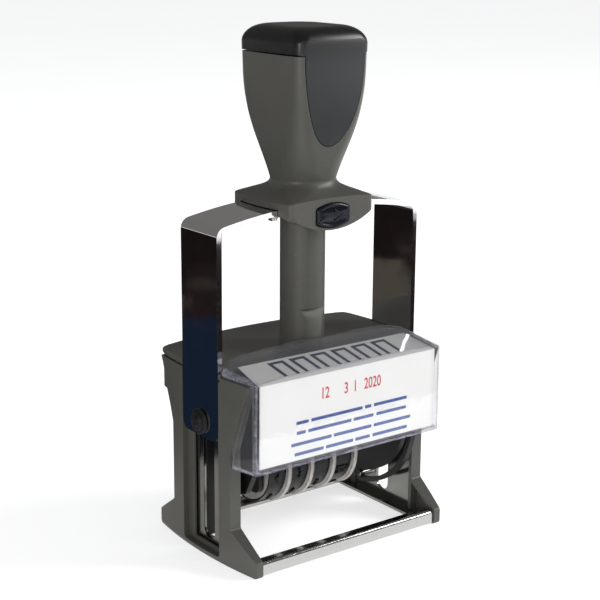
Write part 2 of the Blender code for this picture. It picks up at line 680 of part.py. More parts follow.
def top_housing(parent, mat):
    """Deck, back wall with the tray's opening, card apron, and the ledges for the tray."""
    housing = piece("top_housing", prism(deck_outline(), UNDER_DECK, DECK_Z, "Z"), parent, mat)
    step = housing.modifiers.new("round_rim", "BEVEL")
    step.width = DECK_ROUND
    step.segments = 3
    step.limit_method = "ANGLE"
    step.angle_limit = math.radians(60)
    inner = PANEL_INNER - GAP
    under = UNDER_DECK + EDGE
    wall = rear_arc(0, inner) + list(reversed(rear_arc(BACK_WALL, inner)))
    fuse(housing, piece("housing_back", prism(wall, HIP_Z, under, "Z"), parent))
    shelf_top = BROW_Z - 2 * GAP
    low = COVER_BOTTOM + APRON_LIFT
    shelf_low, back = shelf_top - SHELF_WALL, -APRON_FRONT + APRON_WALL
    section = [(-APRON_FRONT, low), (back, low), (back, shelf_low), (-DECK_FRONT + EDGE, shelf_low),
               (-DECK_FRONT + EDGE, shelf_top), (-APRON_FRONT, shelf_top)]
    fuse(housing, piece("housing_apron", prism(section, -inner, inner, "X"), parent))
    web, inward = TRAY_HALF_WIDTH + GAP, TRAY_HALF_WIDTH - LEDGE_LAP
    ledge = [(inward, PAD_FACE - LEDGE_WALL), (web + LEDGE_WALL, PAD_FACE - LEDGE_WALL),
             (web + LEDGE_WALL, under), (web, under), (web, PAD_FACE), (inward, PAD_FACE)]
    for side in (-1, 1):
        rail = prism(mirrored(ledge, side), -PAD_HALF_DEPTH - LEDGE_LEAD, DECK_CORNER_Y, "Y")
        fuse(housing, piece(f"housing_ledge_{side + 1}", rail, parent))
    opening = rectangle(-web, web, PAD_FACE, UNDER_DECK)
    tray_cut = prism(opening, DECK_CORNER_Y + EDGE, DECK_REAR + OVERRUN, "Y")
    cut(housing, piece("housing_tray_opening", tray_cut, parent))
    for side in (-1, 1):
        run = STRAP_HALF + GAP
        notch = prism(rectangle(-run, run, UNDER_DECK - OVERRUN, DECK_Z + OVERRUN),
                      side * CHANNEL_FLOOR, side * (PANEL_HALF + OVERRUN), "X")
        cut(housing, piece(f"housing_leg_notch_{side + 1}", notch, parent))
    spigot = TUBE_RADIUS - TUBE_SHOULDER + GAP
    hole = turned([(spigot, UNDER_DECK - OVERRUN), (spigot, DECK_Z + OVERRUN)])
    cut(housing, piece("housing_tube_hole", hole, parent))
    return housing


def guide_tube(parent, mat):
    """The handle slides on this tube. Two notches take the lock's tongue."""
    seat = DECK_Z + GAP
    spigot = TUBE_RADIUS - TUBE_SHOULDER
    profile = [(spigot, UNDER_DECK + GAP), (spigot, seat), (TUBE_RADIUS, seat),
               (TUBE_RADIUS, TUBE_TOP - EDGE), (TUBE_RADIUS - EDGE, TUBE_TOP)]
    tube = piece("guide_tube", turned(profile), parent, mat, SMOOTH_ANGLE)
    bore = turned([(TUBE_BORE, seat + TUBE_FLOOR), (TUBE_BORE, TUBE_TOP + OVERRUN)], steps=32)
    cut(tube, piece("tube_bore", bore, parent))
    for index, stroke in enumerate((PAD_CHANGE_STROKE, TRAVEL - LOCK_SHORT)):
        top = LATCH_TOP - stroke
        wedge = [(-TUBE_RADIUS + NOTCH_DEPTH, top), (-TUBE_RADIUS, top - NOTCH_HEIGHT),
                 (-TUBE_RADIUS - OVERRUN, top - NOTCH_HEIGHT - OVERRUN * NOTCH_HEIGHT / NOTCH_DEPTH),
                 (-TUBE_RADIUS - OVERRUN, top)]
        cut(tube, piece(f"tube_notch_{index}", prism(wedge, -TUBE_RADIUS, TUBE_RADIUS, "X"), parent))
    return tube


# Ink pad

def ink_pad_tray(parent, mat):
    """Tray that slides out through the back wall, with a finger grip on its end."""
    low, front = PAD_FACE + GAP, -PAD_HALF_DEPTH - GAP - TRAY_WALL
    body = box((-TRAY_HALF_WIDTH, front, low), (TRAY_HALF_WIDTH, DECK_REAR, TRAY_TOP))
    tray = piece("ink_pad_tray", body, parent, mat)
    well = box((-PAD_HALF_WIDTH - GAP, -PAD_HALF_DEPTH - GAP, low - OVERRUN),
               (PAD_HALF_WIDTH + GAP, PAD_HALF_DEPTH + GAP, TRAY_TOP - TRAY_ROOF))
    cut(tray, piece("tray_well", well, parent))
    inner = TRAY_HALF_WIDTH - TRAY_WALL
    hollow = box((-inner, PAD_HALF_DEPTH + GAP + TRAY_WALL, low - OVERRUN),
                 (inner, DECK_CORNER_Y - TRAY_GRIP_WALL, TRAY_TOP - TRAY_ROOF))
    cut(tray, piece("tray_hollow", hollow, parent))
    wide = TRAY_HALF_WIDTH + OVERRUN
    bow = rear_arc(BACK_WALL / 2, wide) + [(-wide, front - OVERRUN), (wide, front - OVERRUN)]
    keep(tray, piece("tray_bow", prism(bow, low - OVERRUN, TRAY_TOP + OVERRUN, "Z"), parent))
    return tray


def ink_pad(parent, mat):
    corners = rectangle(-PAD_HALF_WIDTH, PAD_HALF_WIDTH, -PAD_HALF_DEPTH, PAD_HALF_DEPTH)
    outline = rounded(corners, 2 * EDGE, 3)
    return piece("ink_pad", prism(outline, PAD_FACE, PAD_FACE + PAD_THICKNESS, "Z"), parent, mat)


# Window

def arch(x, half, end_z, rise):
    """Height of an arched edge at a place across the stamp."""
    share = min(abs(x) / half, 1)
    return end_z + rise * (1 - share ** ARCH_POWER)


def cover_top(x, y):
    """Height of the clear cover's sloping top."""
    half = bow_x(COVER_REAR, COVER_INSET)
    crease = arch(x, half, BROW_Z + CREASE_RISE, CREASE_ARCH)
    lip = arch(x, half, DECK_Z + LIP_RISE, LIP_ARCH)
    return crease + (lip - crease) * (y + COVER_FRONT) / (COVER_FRONT - COVER_REAR)


def stations(half, steps=20):
    """Places across the stamp, closer together towards its sides."""
    return [half * math.sin(math.pi / 2 * (2 * step / steps - 1)) for step in range(steps + 1)]


def window_cover(parent, mat):
    """Clear moulded box with an arched top that snaps over the card and the deck's front."""
    slant = (BROW_FRONT - LEG_FRONT) / (BROW_Z - WAIST_Z)
    rings = []
    for x in stations(PANEL_HALF + OVERRUN):
        outline = [(-COVER_FRONT, COVER_BOTTOM), (-COVER_FRONT, cover_top(x, -COVER_FRONT)),
                   (-COVER_REAR, cover_top(x, -COVER_REAR)), (-COVER_REAR, DECK_Z + GAP),
                   (-DECK_FRONT - 2 * GAP, DECK_Z + GAP), (-DECK_FRONT - 2 * GAP, BROW_Z + GAP),
                   (-BROW_FRONT - GAP - slant * GAP, BROW_Z + GAP), (-LEG_FRONT - GAP, WAIST_Z),
                   (-LEG_FRONT - GAP, COVER_BOTTOM - EDGE)]
        rings.append([Vector((x, y, z)) for y, z in outline])
    cover = piece("window_cover", skin(rings), parent, mat)
    below = COVER_BOTTOM - OVERRUN
    keep(cover, piece("cover_bow", barrel(COVER_INSET, TOE_REACH, below, STRAP_TOP), parent))
    rings = []
    floor = COVER_BOTTOM + COVER_WALL
    for x in stations(PANEL_HALF + OVERRUN):
        front = -COVER_FRONT + COVER_WALL
        rear = -COVER_REAR - COVER_WALL
        outline = [(front, floor), (front, cover_top(x, front) - COVER_WALL),
                   (rear, cover_top(x, rear) - COVER_WALL), (rear, below),
                   (-COVER_FRONT + COVER_LIP_DEPTH, below), (-COVER_FRONT + COVER_LIP_DEPTH, floor)]
        rings.append([Vector((x, y, z)) for y, z in outline])
    void = piece("cover_void", skin(rings), parent)
    within = barrel(COVER_INSET + COVER_WALL, TOE_REACH, below - OVERRUN, STRAP_TOP)
    keep(void, piece("cover_void_bow", within, parent))
    cut(cover, void)
    notch = box((-LIP_NOTCH_HALF, -COVER_REAR - COVER_WALL * 1.5, cover_top(0, -COVER_REAR) - LIP_NOTCH),
                (LIP_NOTCH_HALF, -COVER_REAR + OVERRUN, STRAP_TOP))
    cut(cover, piece("cover_lip_notch", notch, parent))
    for side in (-1, 1):
        past_leg = prism(rectangle(-STRAP_HALF - 2 * GAP, 0, COVER_BOTTOM, STRAP_TOP),
                         side * (LEG_OUTER - STRAP_WALL - 2 * GAP), side * (PANEL_HALF + OVERRUN), "X")
        cut(cover, piece(f"cover_leg_notch_{side + 1}", past_leg, parent))
    return cover


def index_card(parent, mat):
    """A printed card, folded back at the top, that the cover holds against the apron."""
    front, back = -APRON_FRONT - GAP, -CARD_REAR
    low, rear_z = COVER_BOTTOM + COVER_WALL + CARD_LIFT, DECK_Z + CARD_SLOPE
    outline = [(front, low), (front, BROW_Z - CARD_WALL), (back, rear_z - CARD_WALL),
               (back, rear_z), (front - CARD_WALL, BROW_Z), (front - CARD_WALL, low)]
    half = bow_x(COVER_FRONT, COVER_INSET + COVER_WALL) - CARD_ROOM
    card = piece("index_card", prism(outline, -half - OVERRUN, half + OVERRUN, "X"), parent, mat)
    right = [(half, front - OVERRUN), (half, front + EDGE), (half - CARD_TAPER, back),
             (half - CARD_TAPER, back + OVERRUN)]
    plan = right + [(-x, y) for x, y in reversed(right)]
    keep(card, piece("card_plan", prism(plan, 0, STRAP_TOP, "Z"), parent))
    return card


# Press: yoke and handle

def strap_z(x, offset=0.0):
    """Height of the strap's arc, drawn in by an offset, at a place across the stamp."""
    return STRAP_TOP - STRAP_ARC + math.sqrt((STRAP_ARC - offset) ** 2 - x ** 2)


def strap_path(offset):
    """Right half of the yoke's outline at an offset inward: foot, leg, bend, top arc."""
    centre = STRAP_TOP - STRAP_ARC
    corner_x = LEG_OUTER - STRAP_BEND
    corner_z = centre + math.sqrt((STRAP_ARC - STRAP_BEND) ** 2 - corner_x ** 2)
    tilt = math.degrees(math.atan2(corner_z - centre, corner_x))
    points = [(LEG_OUTER - offset, LEG_BOTTOM)]
    points += arc((corner_x, corner_z), STRAP_BEND - offset, 0, tilt, 6)
    return points + arc((0, centre), STRAP_ARC - offset, tilt, 90, 8)[1:]


def yoke(parent, mat):
    """Chromed steel strap, bent down at both ends, with a hole for the tube."""
    outer, inner = strap_path(0), strap_path(STRAP_WALL)
    outline = outer + [(-x, z) for x, z in reversed(outer[:-1])]
    outline += [(-x, z) for x, z in inner] + [(x, z) for x, z in reversed(inner[:-1])]
    strap = piece("yoke", prism(outline, -STRAP_HALF, STRAP_HALF, "Y"), parent, mat)
    above = STRAP_TOP + OVERRUN
    ends = rounded(rectangle(-STRAP_HALF, STRAP_HALF, LEG_BOTTOM, above), [LEG_ROUND, LEG_ROUND, 0, 0])
    wide = LEG_OUTER + OVERRUN
    keep(strap, piece("yoke_ends", prism(ends, -wide, wide, "X"), parent))
    hole = turned([(STRAP_HOLE, COLLAR_BOTTOM), (STRAP_HOLE, above)])
    cut(strap, piece("yoke_tube_hole", hole, parent))
    pins = turned([(PIN_SHANK + GAP, -wide), (PIN_SHANK + GAP, wide)], "X", 24, (0, PIVOT_Z))
    cut(strap, piece("yoke_pin_holes", pins, parent))
    for word, place in yoke_screw_places():
        cut(strap, piece(f"yoke_hole_{word}", screw_hole("Z", COLLAR_BOTTOM, above, place), parent))
    return strap


def yoke_screw_places():
    return [(f"{across}_{along_y}", (x * YOKE_SCREW_X, y * YOKE_SCREW_Y))
            for x, across in ((-1, "left"), (1, "right")) for y, along_y in ((-1, "front"), (1, "rear"))]


def yoke_screw_tip():
    return strap_z(YOKE_SCREW_X) + GAP + YOKE_SCREW_BITE


def yoke_screws(parent, mat):
    """Four screws come up through the strap into the collar."""
    seat = strap_z(YOKE_SCREW_X + SCREW_HEAD, STRAP_WALL) - GAP
    for word, place in yoke_screw_places():
        screw(f"yoke_screw_{word}", seat, yoke_screw_tip(), "Z", place, parent, mat, YOKE_SCREW_HEAD)


def pivot_pin(name, side, parent, mat):
    """Black stepped rivet: head, shank in the leg, shoulder in the slot, tip in the cheek."""
    face = LEG_OUTER + GAP
    lifts = PIN_HEAD_LIFTS
    shoulder = LEG_OUTER - STRAP_WALL - GAP
    cheek = CHEEK_INNER + CHEEK_WALL + GAP
    profile = [(PIN_NUB, face + lifts[2]), (PIN_NUB, face + lifts[1]), (PIN_STEP, face + lifts[1]),
               (PIN_STEP, face + lifts[0]), (PIN_HEAD, face + lifts[0]), (PIN_HEAD, face),
               (PIN_SHANK, face), (PIN_SHANK, shoulder), (PIN_SHOULDER, shoulder),
               (PIN_SHOULDER, cheek), (PIN_TIP, cheek), (PIN_TIP, CHEEK_INNER - GAP)]
    mesh = turned([(r, side * x) for r, x in profile], "X", 32, (0, PIVOT_Z))
    return piece(name, mesh, parent, mat, SMOOTH_ANGLE)


def section(half_x, half_y, corner, z, bow=0.0, front_bow=0.0):
    """A rounded rectangle at a height. Its ends, and its front and back, can bulge."""
    turns = []
    for index, (sx, sy) in enumerate(((1, 1), (-1, 1), (-1, -1), (1, -1))):
        centre = (sx * (half_x - corner), sy * (half_y - corner))
        turns.append(arc(centre, corner, 90 * index, 90 * index + 90, ARC_STEPS))
    points = []
    for index, turn in enumerate(turns):
        here, there = Vector(turn[-1]), Vector(turns[(index + 1) % len(turns)][0])
        points += turn + [here.lerp(there, step / SIDE_STEPS) for step in range(1, SIDE_STEPS)]
    return [Vector((x * (1 + bow / half_x * (1 - (y / half_y) ** 2)),
                    y * (1 + front_bow / half_y * (1 - (x / half_x) ** 2)), z)) for x, y in points]


# The grip from its neck up to the cap: height share, then shares of its half width, half depth and corner
GRIP_SHARES = (
    (0.0, 0.0, 0.0, 1.0),
    (0.06, 0.05, 0.09, 0.9),
    (0.16, 0.18, 0.25, 0.72),
    (0.28, 0.36, 0.46, 0.5),
    (0.40, 0.57, 0.66, 0.34),
    (0.55, 0.80, 0.84, 0.2),
    (0.75, 0.965, 0.96, 0.06),
    (1.0, 1.0, 1.0, 0.0),
)


def grip_ring(index, inset=0.0):
    """One ring of the grip, drawn in by an inset. The neck is round and the top is nearly square."""
    share, wide, deep, turn = GRIP_SHARES[index]
    half_x = NECK_RADIUS + (GRIP_HALF_X - NECK_RADIUS) * wide
    half_y = NECK_RADIUS + (GRIP_HALF_Y - NECK_RADIUS) * deep
    corner = GRIP_CORNER + (NECK_CORNER - GRIP_CORNER) * turn
    z = NECK_Z + GRIP_LENGTH * share
    bows = GRIP_BOW * wide, GRIP_FRONT_BOW * wide
    return section(half_x - inset, half_y - inset, corner - inset, z, *bows)


def grip_rings(inset=0.0):
    return [grip_ring(index, inset) for index in range(1, len(GRIP_SHARES))]


# The sweep from the collar's upper edge to the neck: shares of the way in and of the way up
COLLAR_SHARES = ((0.0, 0.0), (0.06, 0.05), (0.35, 0.19), (0.65, 0.36), (0.86, 0.55), (0.97, 0.78),
                 (1.0, 1.0))


def collar_rings():
    """The collar's top: a low wall whose edge runs with the strap, then a hollow sweep to the neck."""
    rings = [collar_plan(COLLAR_TOP - COLLAR_BAND)]
    for inward, rise in COLLAR_SHARES:
        half_x = COLLAR_HALF_X + (NECK_RADIUS - COLLAR_HALF_X) * inward
        half_y = COLLAR_HALF_Y + (NECK_RADIUS - COLLAR_HALF_Y) * inward
        corner = COLLAR_CORNER + (NECK_CORNER - COLLAR_CORNER) * inward
        ring = section(half_x, half_y, corner, COLLAR_TOP + NECK_RISE * rise, COLLAR_BOW * (1 - inward))
        for point in ring:
            point.z += (strap_z(point.x) - STRAP_TOP) * (1 - rise)
        rings.append(ring)
    return rings


def collar_plan(z):
    return section(COLLAR_HALF_X, COLLAR_HALF_Y, COLLAR_CORNER, z, COLLAR_BOW)


def collar_skirt():
    """Front view of the collar below its upper edge, with an arched bottom."""
    rise = SKIRT_HEIGHT - SKIRT_END_HEIGHT
    radius = (COLLAR_HALF_X ** 2 + rise ** 2) / (2 * rise)
    sweep = math.degrees(math.asin(COLLAR_HALF_X / radius))
    bottom = arc((0, COLLAR_BOTTOM + radius), radius, 270 - sweep, 270 + sweep, 14)
    wide, top = COLLAR_HALF_X + COLLAR_BOW + OVERRUN, COLLAR_TOP - COLLAR_BAND + EDGE
    end = COLLAR_TOP - SKIRT_END_HEIGHT
    return bottom + [(wide, end), (wide, top), (-wide, top), (-wide, end)]


def insert_outline(gap):
    """Front view of the dark inlay: wide on the cap, then a tongue with a round tip."""
    top, tip = CAP_PARTING + INSERT_RISE + gap, INSERT_LENGTH + gap
    half, wide = INSERT_HALF + gap, INSERT_HALF + INSERT_STEP + gap
    right = []
    for step in range(12):
        turn = math.pi / 2 * step / 12
        right.append((half * math.cos(turn) ** (2 / INSERT_POWER),
                      CAP_PARTING - tip * math.sin(turn) ** (2 / INSERT_POWER)))
    left = [(-x, z) for x, z in right]
    shoulder = [(wide, CAP_PARTING), (wide, top)]
    return left + [(0, CAP_PARTING - tip)] + right[::-1] + shoulder + [(-x, z) for x, z in shoulder[::-1]]


def grip_body(inset):
    """Grip and cap as one closed body, drawn in by an inset."""
    return grip_rings(inset) + cap_rings(inset)


def insert_block(name, gap, parent):
    """The inlay's outline, as deep as the inlay all over the front of the grip."""
    front, back = -GRIP_HALF_Y - OVERRUN, -GRIP_HALF_Y / 2
    block = piece(name, prism(insert_outline(gap), front, back, "Y"), parent)
    return cut(block, piece(name + "_core", skin(grip_body(INSERT_DEPTH + gap)), parent))


def handle_grip(parent, mat):
    """Grip, neck and collar are one moulding, bored for the tube and recessed for the strap."""
    body = grip_rings()
    rings = collar_rings() + body[:-1] + [[Vector((p.x, p.y, p.z - GAP)) for p in body[-1]]]
    grip = piece("handle_grip", skin(rings), parent, mat, SMOOTH_ANGLE)
    deep = COLLAR_HALF_Y + OVERRUN
    skirt = piece("grip_skirt", prism(collar_skirt(), -deep, deep, "Y"), parent)
    plan = [collar_plan(z) for z in (COLLAR_BOTTOM - OVERRUN, COLLAR_TOP + OVERRUN)]
    fuse(grip, keep(skirt, piece("grip_skirt_plan", skin(plan), parent)))
    below = COLLAR_BOTTOM - OVERRUN
    way = strap_path(-GAP)[1:]
    way += [(-x, z) for x, z in reversed(way[:-1])] + [(-LEG_OUTER, below), (LEG_OUTER, below)]
    run = STRAP_HALF + GAP
    cut(grip, piece("grip_strap_way", prism(way, -run, run, "Y"), parent))
    bore = turned([(TUBE_RADIUS + GAP, below), (TUBE_RADIUS + GAP, BORE_TOP)])
    cut(grip, piece("grip_bore", bore, parent))
    for word, place in yoke_screw_places():
        hole = screw_hole("Z", below, yoke_screw_tip() + GAP, place)
        cut(grip, piece(f"grip_hole_{word}", hole, parent))
    cut_lock_way(grip, parent)
    return cut(grip, insert_block("grip_insert_pocket", GAP, parent))


def cut_lock_way(grip, parent):
    """Recess for the lock button and a way through to the tube for its tongue."""
    front, back = -COLLAR_HALF_Y - OVERRUN, -COLLAR_HALF_Y + RECESS_DEPTH
    recess = prism(button_outline(GAP, BUTTON_Z), front, back, "Y")
    cut(grip, piece("grip_button_recess", recess, parent))
    wide, low = TONGUE_HALF_X + GAP, LATCH_TOP - TONGUE_HEIGHT - GAP
    tunnel = box((-wide, -COLLAR_HALF_Y, low), (wide, -TUBE_RADIUS, LATCH_TOP + GAP))
    cut(grip, piece("grip_tongue_way", tunnel, parent))


# Growth of the cap's plan corners as its edge turns over, as a share of its half width
CAP_CORNER_SHARE = 0.42


def cap_rings(inset=0.0):
    """The cap from its parting line over its round top edge."""
    base = grip_ring(len(GRIP_SHARES) - 1, inset - CAP_PROUD)
    rings = [[Vector((p.x, p.y, p.z + GAP)) for p in base]]
    for turn in (0, 25, 50, 70, 82, 90):
        angle = math.radians(turn)
        drawn_in = inset * math.cos(angle)
        pull = CAP_ROUND * (1 - math.cos(angle)) + drawn_in - CAP_PROUD
        z = GRIP_TOP - CAP_ROUND + (CAP_ROUND - inset) * math.sin(angle)
        corner = GRIP_CORNER + (GRIP_HALF_X * CAP_CORNER_SHARE - GRIP_CORNER) * (turn / 90)
        rings.append(section(GRIP_HALF_X - pull, GRIP_HALF_Y - pull, corner - drawn_in, z,
                             GRIP_BOW, GRIP_FRONT_BOW))
    return rings


def handle_cap(parent, mat):
    """Black cap, a shell that closes the top of the grip."""
    cap = piece("handle_cap", skin(cap_rings()), parent, mat, SMOOTH_ANGLE)
    hollow = cap_rings(CAP_WALL)
    hollow[0] = [Vector((p.x, p.y, p.z - OVERRUN)) for p in hollow[0]]
    cut(cap, piece("cap_hollow", skin(hollow), parent))
    return cut(cap, insert_block("cap_insert_pocket", GAP, parent))


def handle_insert(parent, mat):
    """Dark inlay in the front of the grip and the cap, bent to their shape."""
    inlay = insert_block("handle_insert", 0, parent)
    inlay.data.materials.append(mat)
    return keep(inlay, piece("insert_body", skin(grip_body(0)), parent))


def button_outline(gap, at_z):
    """Front view of the lock button: straight sides, barrelled top and bottom."""
    half, tall = BUTTON_HALF_X + gap, BUTTON_HEIGHT / 2 + gap
    upper = []
    for share in (1.0, 0.5, 0.0, -0.5, -1.0):
        upper.append((half * share, tall - BUTTON_BARREL * share ** 2))
    corners = [(x, z) for x, z in upper] + [(-x, -z) for x, z in upper]
    radii = [BUTTON_ROUND, 0, 0, 0, BUTTON_ROUND] * 2
    return [(x, z + at_z) for x, z in rounded(corners, radii, 3)]


def lock_button(parent, mat):
    """Push button, about its own middle, whose tongue slips into a notch of the tube."""
    button = piece("lock_button", prism(button_outline(0, 0), -BUTTON_PROUD, BUTTON_DEPTH, "Y"), parent, mat)
    soften(button, EDGE, 2, 50)
    reach = COLLAR_HALF_Y - TUBE_RADIUS - GAP - BUTTON_TRAVEL
    tongue = box((-TONGUE_HALF_X, BUTTON_DEPTH - EDGE, TONGUE_RISE - TONGUE_HEIGHT),
                 (TONGUE_HALF_X, reach, TONGUE_RISE))
    return fuse(button, piece("button_tongue", tongue, parent))


def return_spring(parent, mat):
    """Compression spring in the bore, from the tube's floor to the top of the grip's bore."""
    low = DECK_Z + GAP + TUBE_FLOOR + GAP + SPRING_WIRE
    high = BORE_TOP - GAP - SPRING_WIRE
    count = SPRING_TURNS * SPRING_POINTS
    path = []
    for step in range(count + 1):
        turn = 2 * math.pi * step / SPRING_POINTS
        z = low + (high - low) * step / count
        path.append((SPRING_RADIUS * math.cos(turn), SPRING_RADIUS * math.sin(turn), z))
    print("return_spring least gap between turns, mm:", round(least_coil_gap(path) / MM, 2))
    curve = bpy.data.curves.new("return_spring", "CURVE")
    curve.dimensions = "3D"
    curve.bevel_depth = SPRING_WIRE
    curve.bevel_resolution = 1
    curve.use_fill_caps = True
    line = curve.splines.new("POLY")
    line.points.add(count)
    for point, place in zip(line.points, path):
        point.co = (*place, 1)
    curve.materials.append(mat)
    thing = bpy.data.objects.new("return_spring", curve)
    bpy.context.collection.objects.link(thing)
    thing.parent = parent
    return thing


def least_coil_gap(path):
    """Least distance between points at least half a turn apart, less the wire."""
    apart = SPRING_POINTS // 2
    best = min((Vector(a) - Vector(b)).length
               for index, a in enumerate(path) for b in path[index + apart:])
    return best - 2 * SPRING_WIRE


# Carriage

def slot_path():
    """Path of the fixed stud as the carriage sees it, while it goes down and turns half a turn."""
    points = []
    for step in range(SLOT_STEPS + 1):
        share = step / SLOT_STEPS
        turn = math.pi * share
        drop = TRAVEL * share - STUD_DROP
        points.append(Vector((STUD_Y * math.cos(turn) + drop * math.sin(turn),
                              -STUD_Y * math.sin(turn) + drop * math.cos(turn))))
    return points


def round_cap(tip, first):
    """Points of a half circle about a tip, after its first point."""
    arm = first - tip
    points = []
    for step in range(1, 8):
        turn = -math.pi * step / 8
        points.append(tip + Vector((arm.x * math.cos(turn) - arm.y * math.sin(turn),
                                    arm.x * math.sin(turn) + arm.y * math.cos(turn))))
    return points


def slot_outline(half):
    """The stud's path widened to a slot with round ends."""
    path = slot_path()
    left, right = [], []
    for index, point in enumerate(path):
        ahead = path[min(index + 1, SLOT_STEPS)] - path[max(index - 1, 0)]
        normal = Vector((-ahead.y, ahead.x)).normalized() * half
        left.append(point + normal)
        right.append(point - normal)
    outline = left + round_cap(path[-1], left[-1]) + right[::-1] + round_cap(path[0], right[0])
    return [tuple(point) for point in outline]


def hull(points):
    """Convex outline round a set of points."""
    points = sorted(set(points))

    def half(sequence):
        chain = []
        for point in sequence:
            while len(chain) > 1 and ((chain[-1][0] - chain[-2][0]) * (point[1] - chain[-2][1])
                                      - (chain[-1][1] - chain[-2][1]) * (point[0] - chain[-2][0])) <= 0:
                chain.pop()
            chain.append(point)
        return chain[:-1]

    return half(points) + half(list(reversed(points)))


def cam_outline():
    """The cam plate reaches from the platen round the whole of its slot."""
    wall = slot_outline(STUD_RADIUS + GAP + CAM_WALL)
    corners = [(-DIE_HALF_DEPTH, CHEEK_TOP), (DIE_HALF_DEPTH, CHEEK_TOP), (DIE_HALF_DEPTH, CHEEK_TOP / 2)]
    return hull(wall + corners)


# Outline of the plain end plate: shares of the die's half depth, and of the platen's height above the
# axis or of the wheel axle's depth below it
END_PLATE_SHARES = ((1.0, 1.0), (1.0, 0.3), (0.6, -0.4), (0.1, -0.8), (-0.45, -1.15), (-0.72, -1.28),
                    (-0.95, -1.26), (-1.25, -0.86), (-1.25, -0.2), (-1.0, 1.0))


def end_plate_outline():
    points = [(DIE_HALF_DEPTH * depth, height * (CHEEK_TOP if height > 0 else WHEEL_DROP))
              for depth, height in END_PLATE_SHARES]
    return rounded(points, 3 * EDGE, 3)


def cheek_screw_places():
    reach = DIE_HALF_DEPTH - CHEEK_SCREW_INSET
    middle = (PLATEN_BOTTOM + PLATEN_TOP) / 2
    return ("front", (-reach, middle)), ("rear", (reach, middle))


def cheek(name, side, outline, with_slot, parent, mat):
    """End plate of the carriage. The right one is the cam plate with the curved slot."""
    outer = CHEEK_INNER + CHEEK_WALL
    plate = piece(name, prism(outline, side * CHEEK_INNER, side * outer, "X"), parent, mat)
    through = side * (CHEEK_INNER - OVERRUN), side * (CHEEK_INNER + CHEEK_WALL + OVERRUN)
    hub = turned([(PIN_TIP + GAP, through[0]), (PIN_TIP + GAP, through[1])], "X", 24)
    cut(plate, piece(name + "_hub", hub, parent))
    if with_slot:
        slot = prism(slot_outline(STUD_RADIUS + GAP), *through, "X")
        cut(plate, piece(name + "_slot", slot, parent))
    for word, centre in cheek_screw_places():
        cut(plate, piece(f"{name}_hole_{word}", screw_hole("X", *through, centre), parent))
    return plate


def cheek_screws(word, side, parent, mat):
    """Two screws hold an end plate on the platen."""
    seat = side * (CHEEK_INNER + CHEEK_WALL + GAP)
    tip = side * (CHEEK_INNER - GAP - SCREW_DEPTH)
    for place, centre in cheek_screw_places():
        screw(f"cheek_screw_{word}_{place}", seat, tip, "X", centre, parent, mat)


def wheel_places():
    return [WHEEL_SET - CHEEK_INNER + WHEEL_PITCH * index for index in range(4)]


def band_unit_ends():
    """Inner faces of the two brackets that hold the bands, wheels and axle."""
    places = wheel_places()
    left = places[0] - WHEEL_RIM / 2 - DRUM_WIDTH - GAP
    right = places[-1] + WHEEL_RIM / 2 + GAP
    return left, right


def platen(parent, mat):
    """Plate under the rubber die, with a window for the date bands."""
    wide, deep = CHEEK_INNER - GAP, DIE_HALF_DEPTH + PLATEN_BORDER
    outline = rounded(rectangle(-wide, wide, -deep, deep), 2 * EDGE, 3)
    plate = piece("platen", prism(outline, PLATEN_BOTTOM, PLATEN_TOP, "Z"), parent, mat)
    left, right = band_unit_ends()
    window = box((left - BRACKET_WALL - GAP, -PLATEN_WINDOW, PLATEN_BOTTOM - OVERRUN),
                 (right + BRACKET_WALL + GAP, PLATEN_WINDOW, PLATEN_TOP + OVERRUN))
    cut(plate, piece("platen_window", window, parent))
    for side in (-1, 1):
        low, high = side * (wide - SCREW_DEPTH - GAP), side * (wide + OVERRUN)
        for word, centre in cheek_screw_places():
            cut(plate, piece(f"platen_hole_{side + 1}_{word}", screw_hole("X", low, high, centre), parent))
    return plate


def die_bars():
    """Raised bars of the die as half width and the two edges: the title in front, lines behind."""
    rows = []
    for index, inset in enumerate(DIE_BAR_INSETS):
        near = DATE_HALF + DIE_BAR_WIDTH / 2 + index * DIE_BAR_PITCH
        rows.append((DIE_HALF_WIDTH - inset, near, near + DIE_BAR_WIDTH))
    title = -DATE_HALF - DIE_BAR_WIDTH
    return rows + [(DIE_HALF_WIDTH - TITLE_INSET, title - TITLE_BAR, title)]


def text_die(parent, mat):
    """Rubber sheet with raised ruled bars in place of lines of words."""
    low, base = PLATEN_TOP + GAP, DIE_REACH - DIE_RELIEF
    outline = rectangle(-DIE_HALF_WIDTH, DIE_HALF_WIDTH, -DIE_HALF_DEPTH, DIE_HALF_DEPTH)
    die = piece("text_die", prism(outline, low, base, "Z"), parent, mat)
    for index, (half, near, far) in enumerate(die_bars()):
        fuse(die, piece(f"die_bar_{index}", box((-half, near, base - EDGE), (half, far, DIE_REACH)), parent))
    left, right = band_unit_ends()
    window = box((left - GAP, -DATE_HALF, low - OVERRUN), (right + GAP, DATE_HALF, DIE_REACH + OVERRUN))
    return cut(die, piece("die_window", window, parent))


def anvil_top():
    return DIE_REACH - BAND_WALL - GAP


def date_anvil(parent, mat):
    """Bar that the bands run over, level with the die."""
    left, right = band_unit_ends()
    top = anvil_top()
    outline = rounded(rectangle(-ANVIL_HALF, ANVIL_HALF, top - ANVIL_HEIGHT, top), ANVIL_ROUND, 3)
    return piece("date_anvil", prism(outline, left + GAP, right - GAP, "X"), parent, mat, SMOOTH_ANGLE)


def band_loop(offset):
    """A band's outline at an offset from the drum and the anvil."""
    drum = circle(DRUM_RADIUS + offset, 40, (0, -WHEEL_DROP))
    top = anvil_top()
    ends = []
    for side in (-1, 1):
        centre = (side * (ANVIL_HALF - ANVIL_ROUND), top - ANVIL_ROUND)
        ends += circle(ANVIL_ROUND + offset, 16, centre)
    return hull(drum + ends)


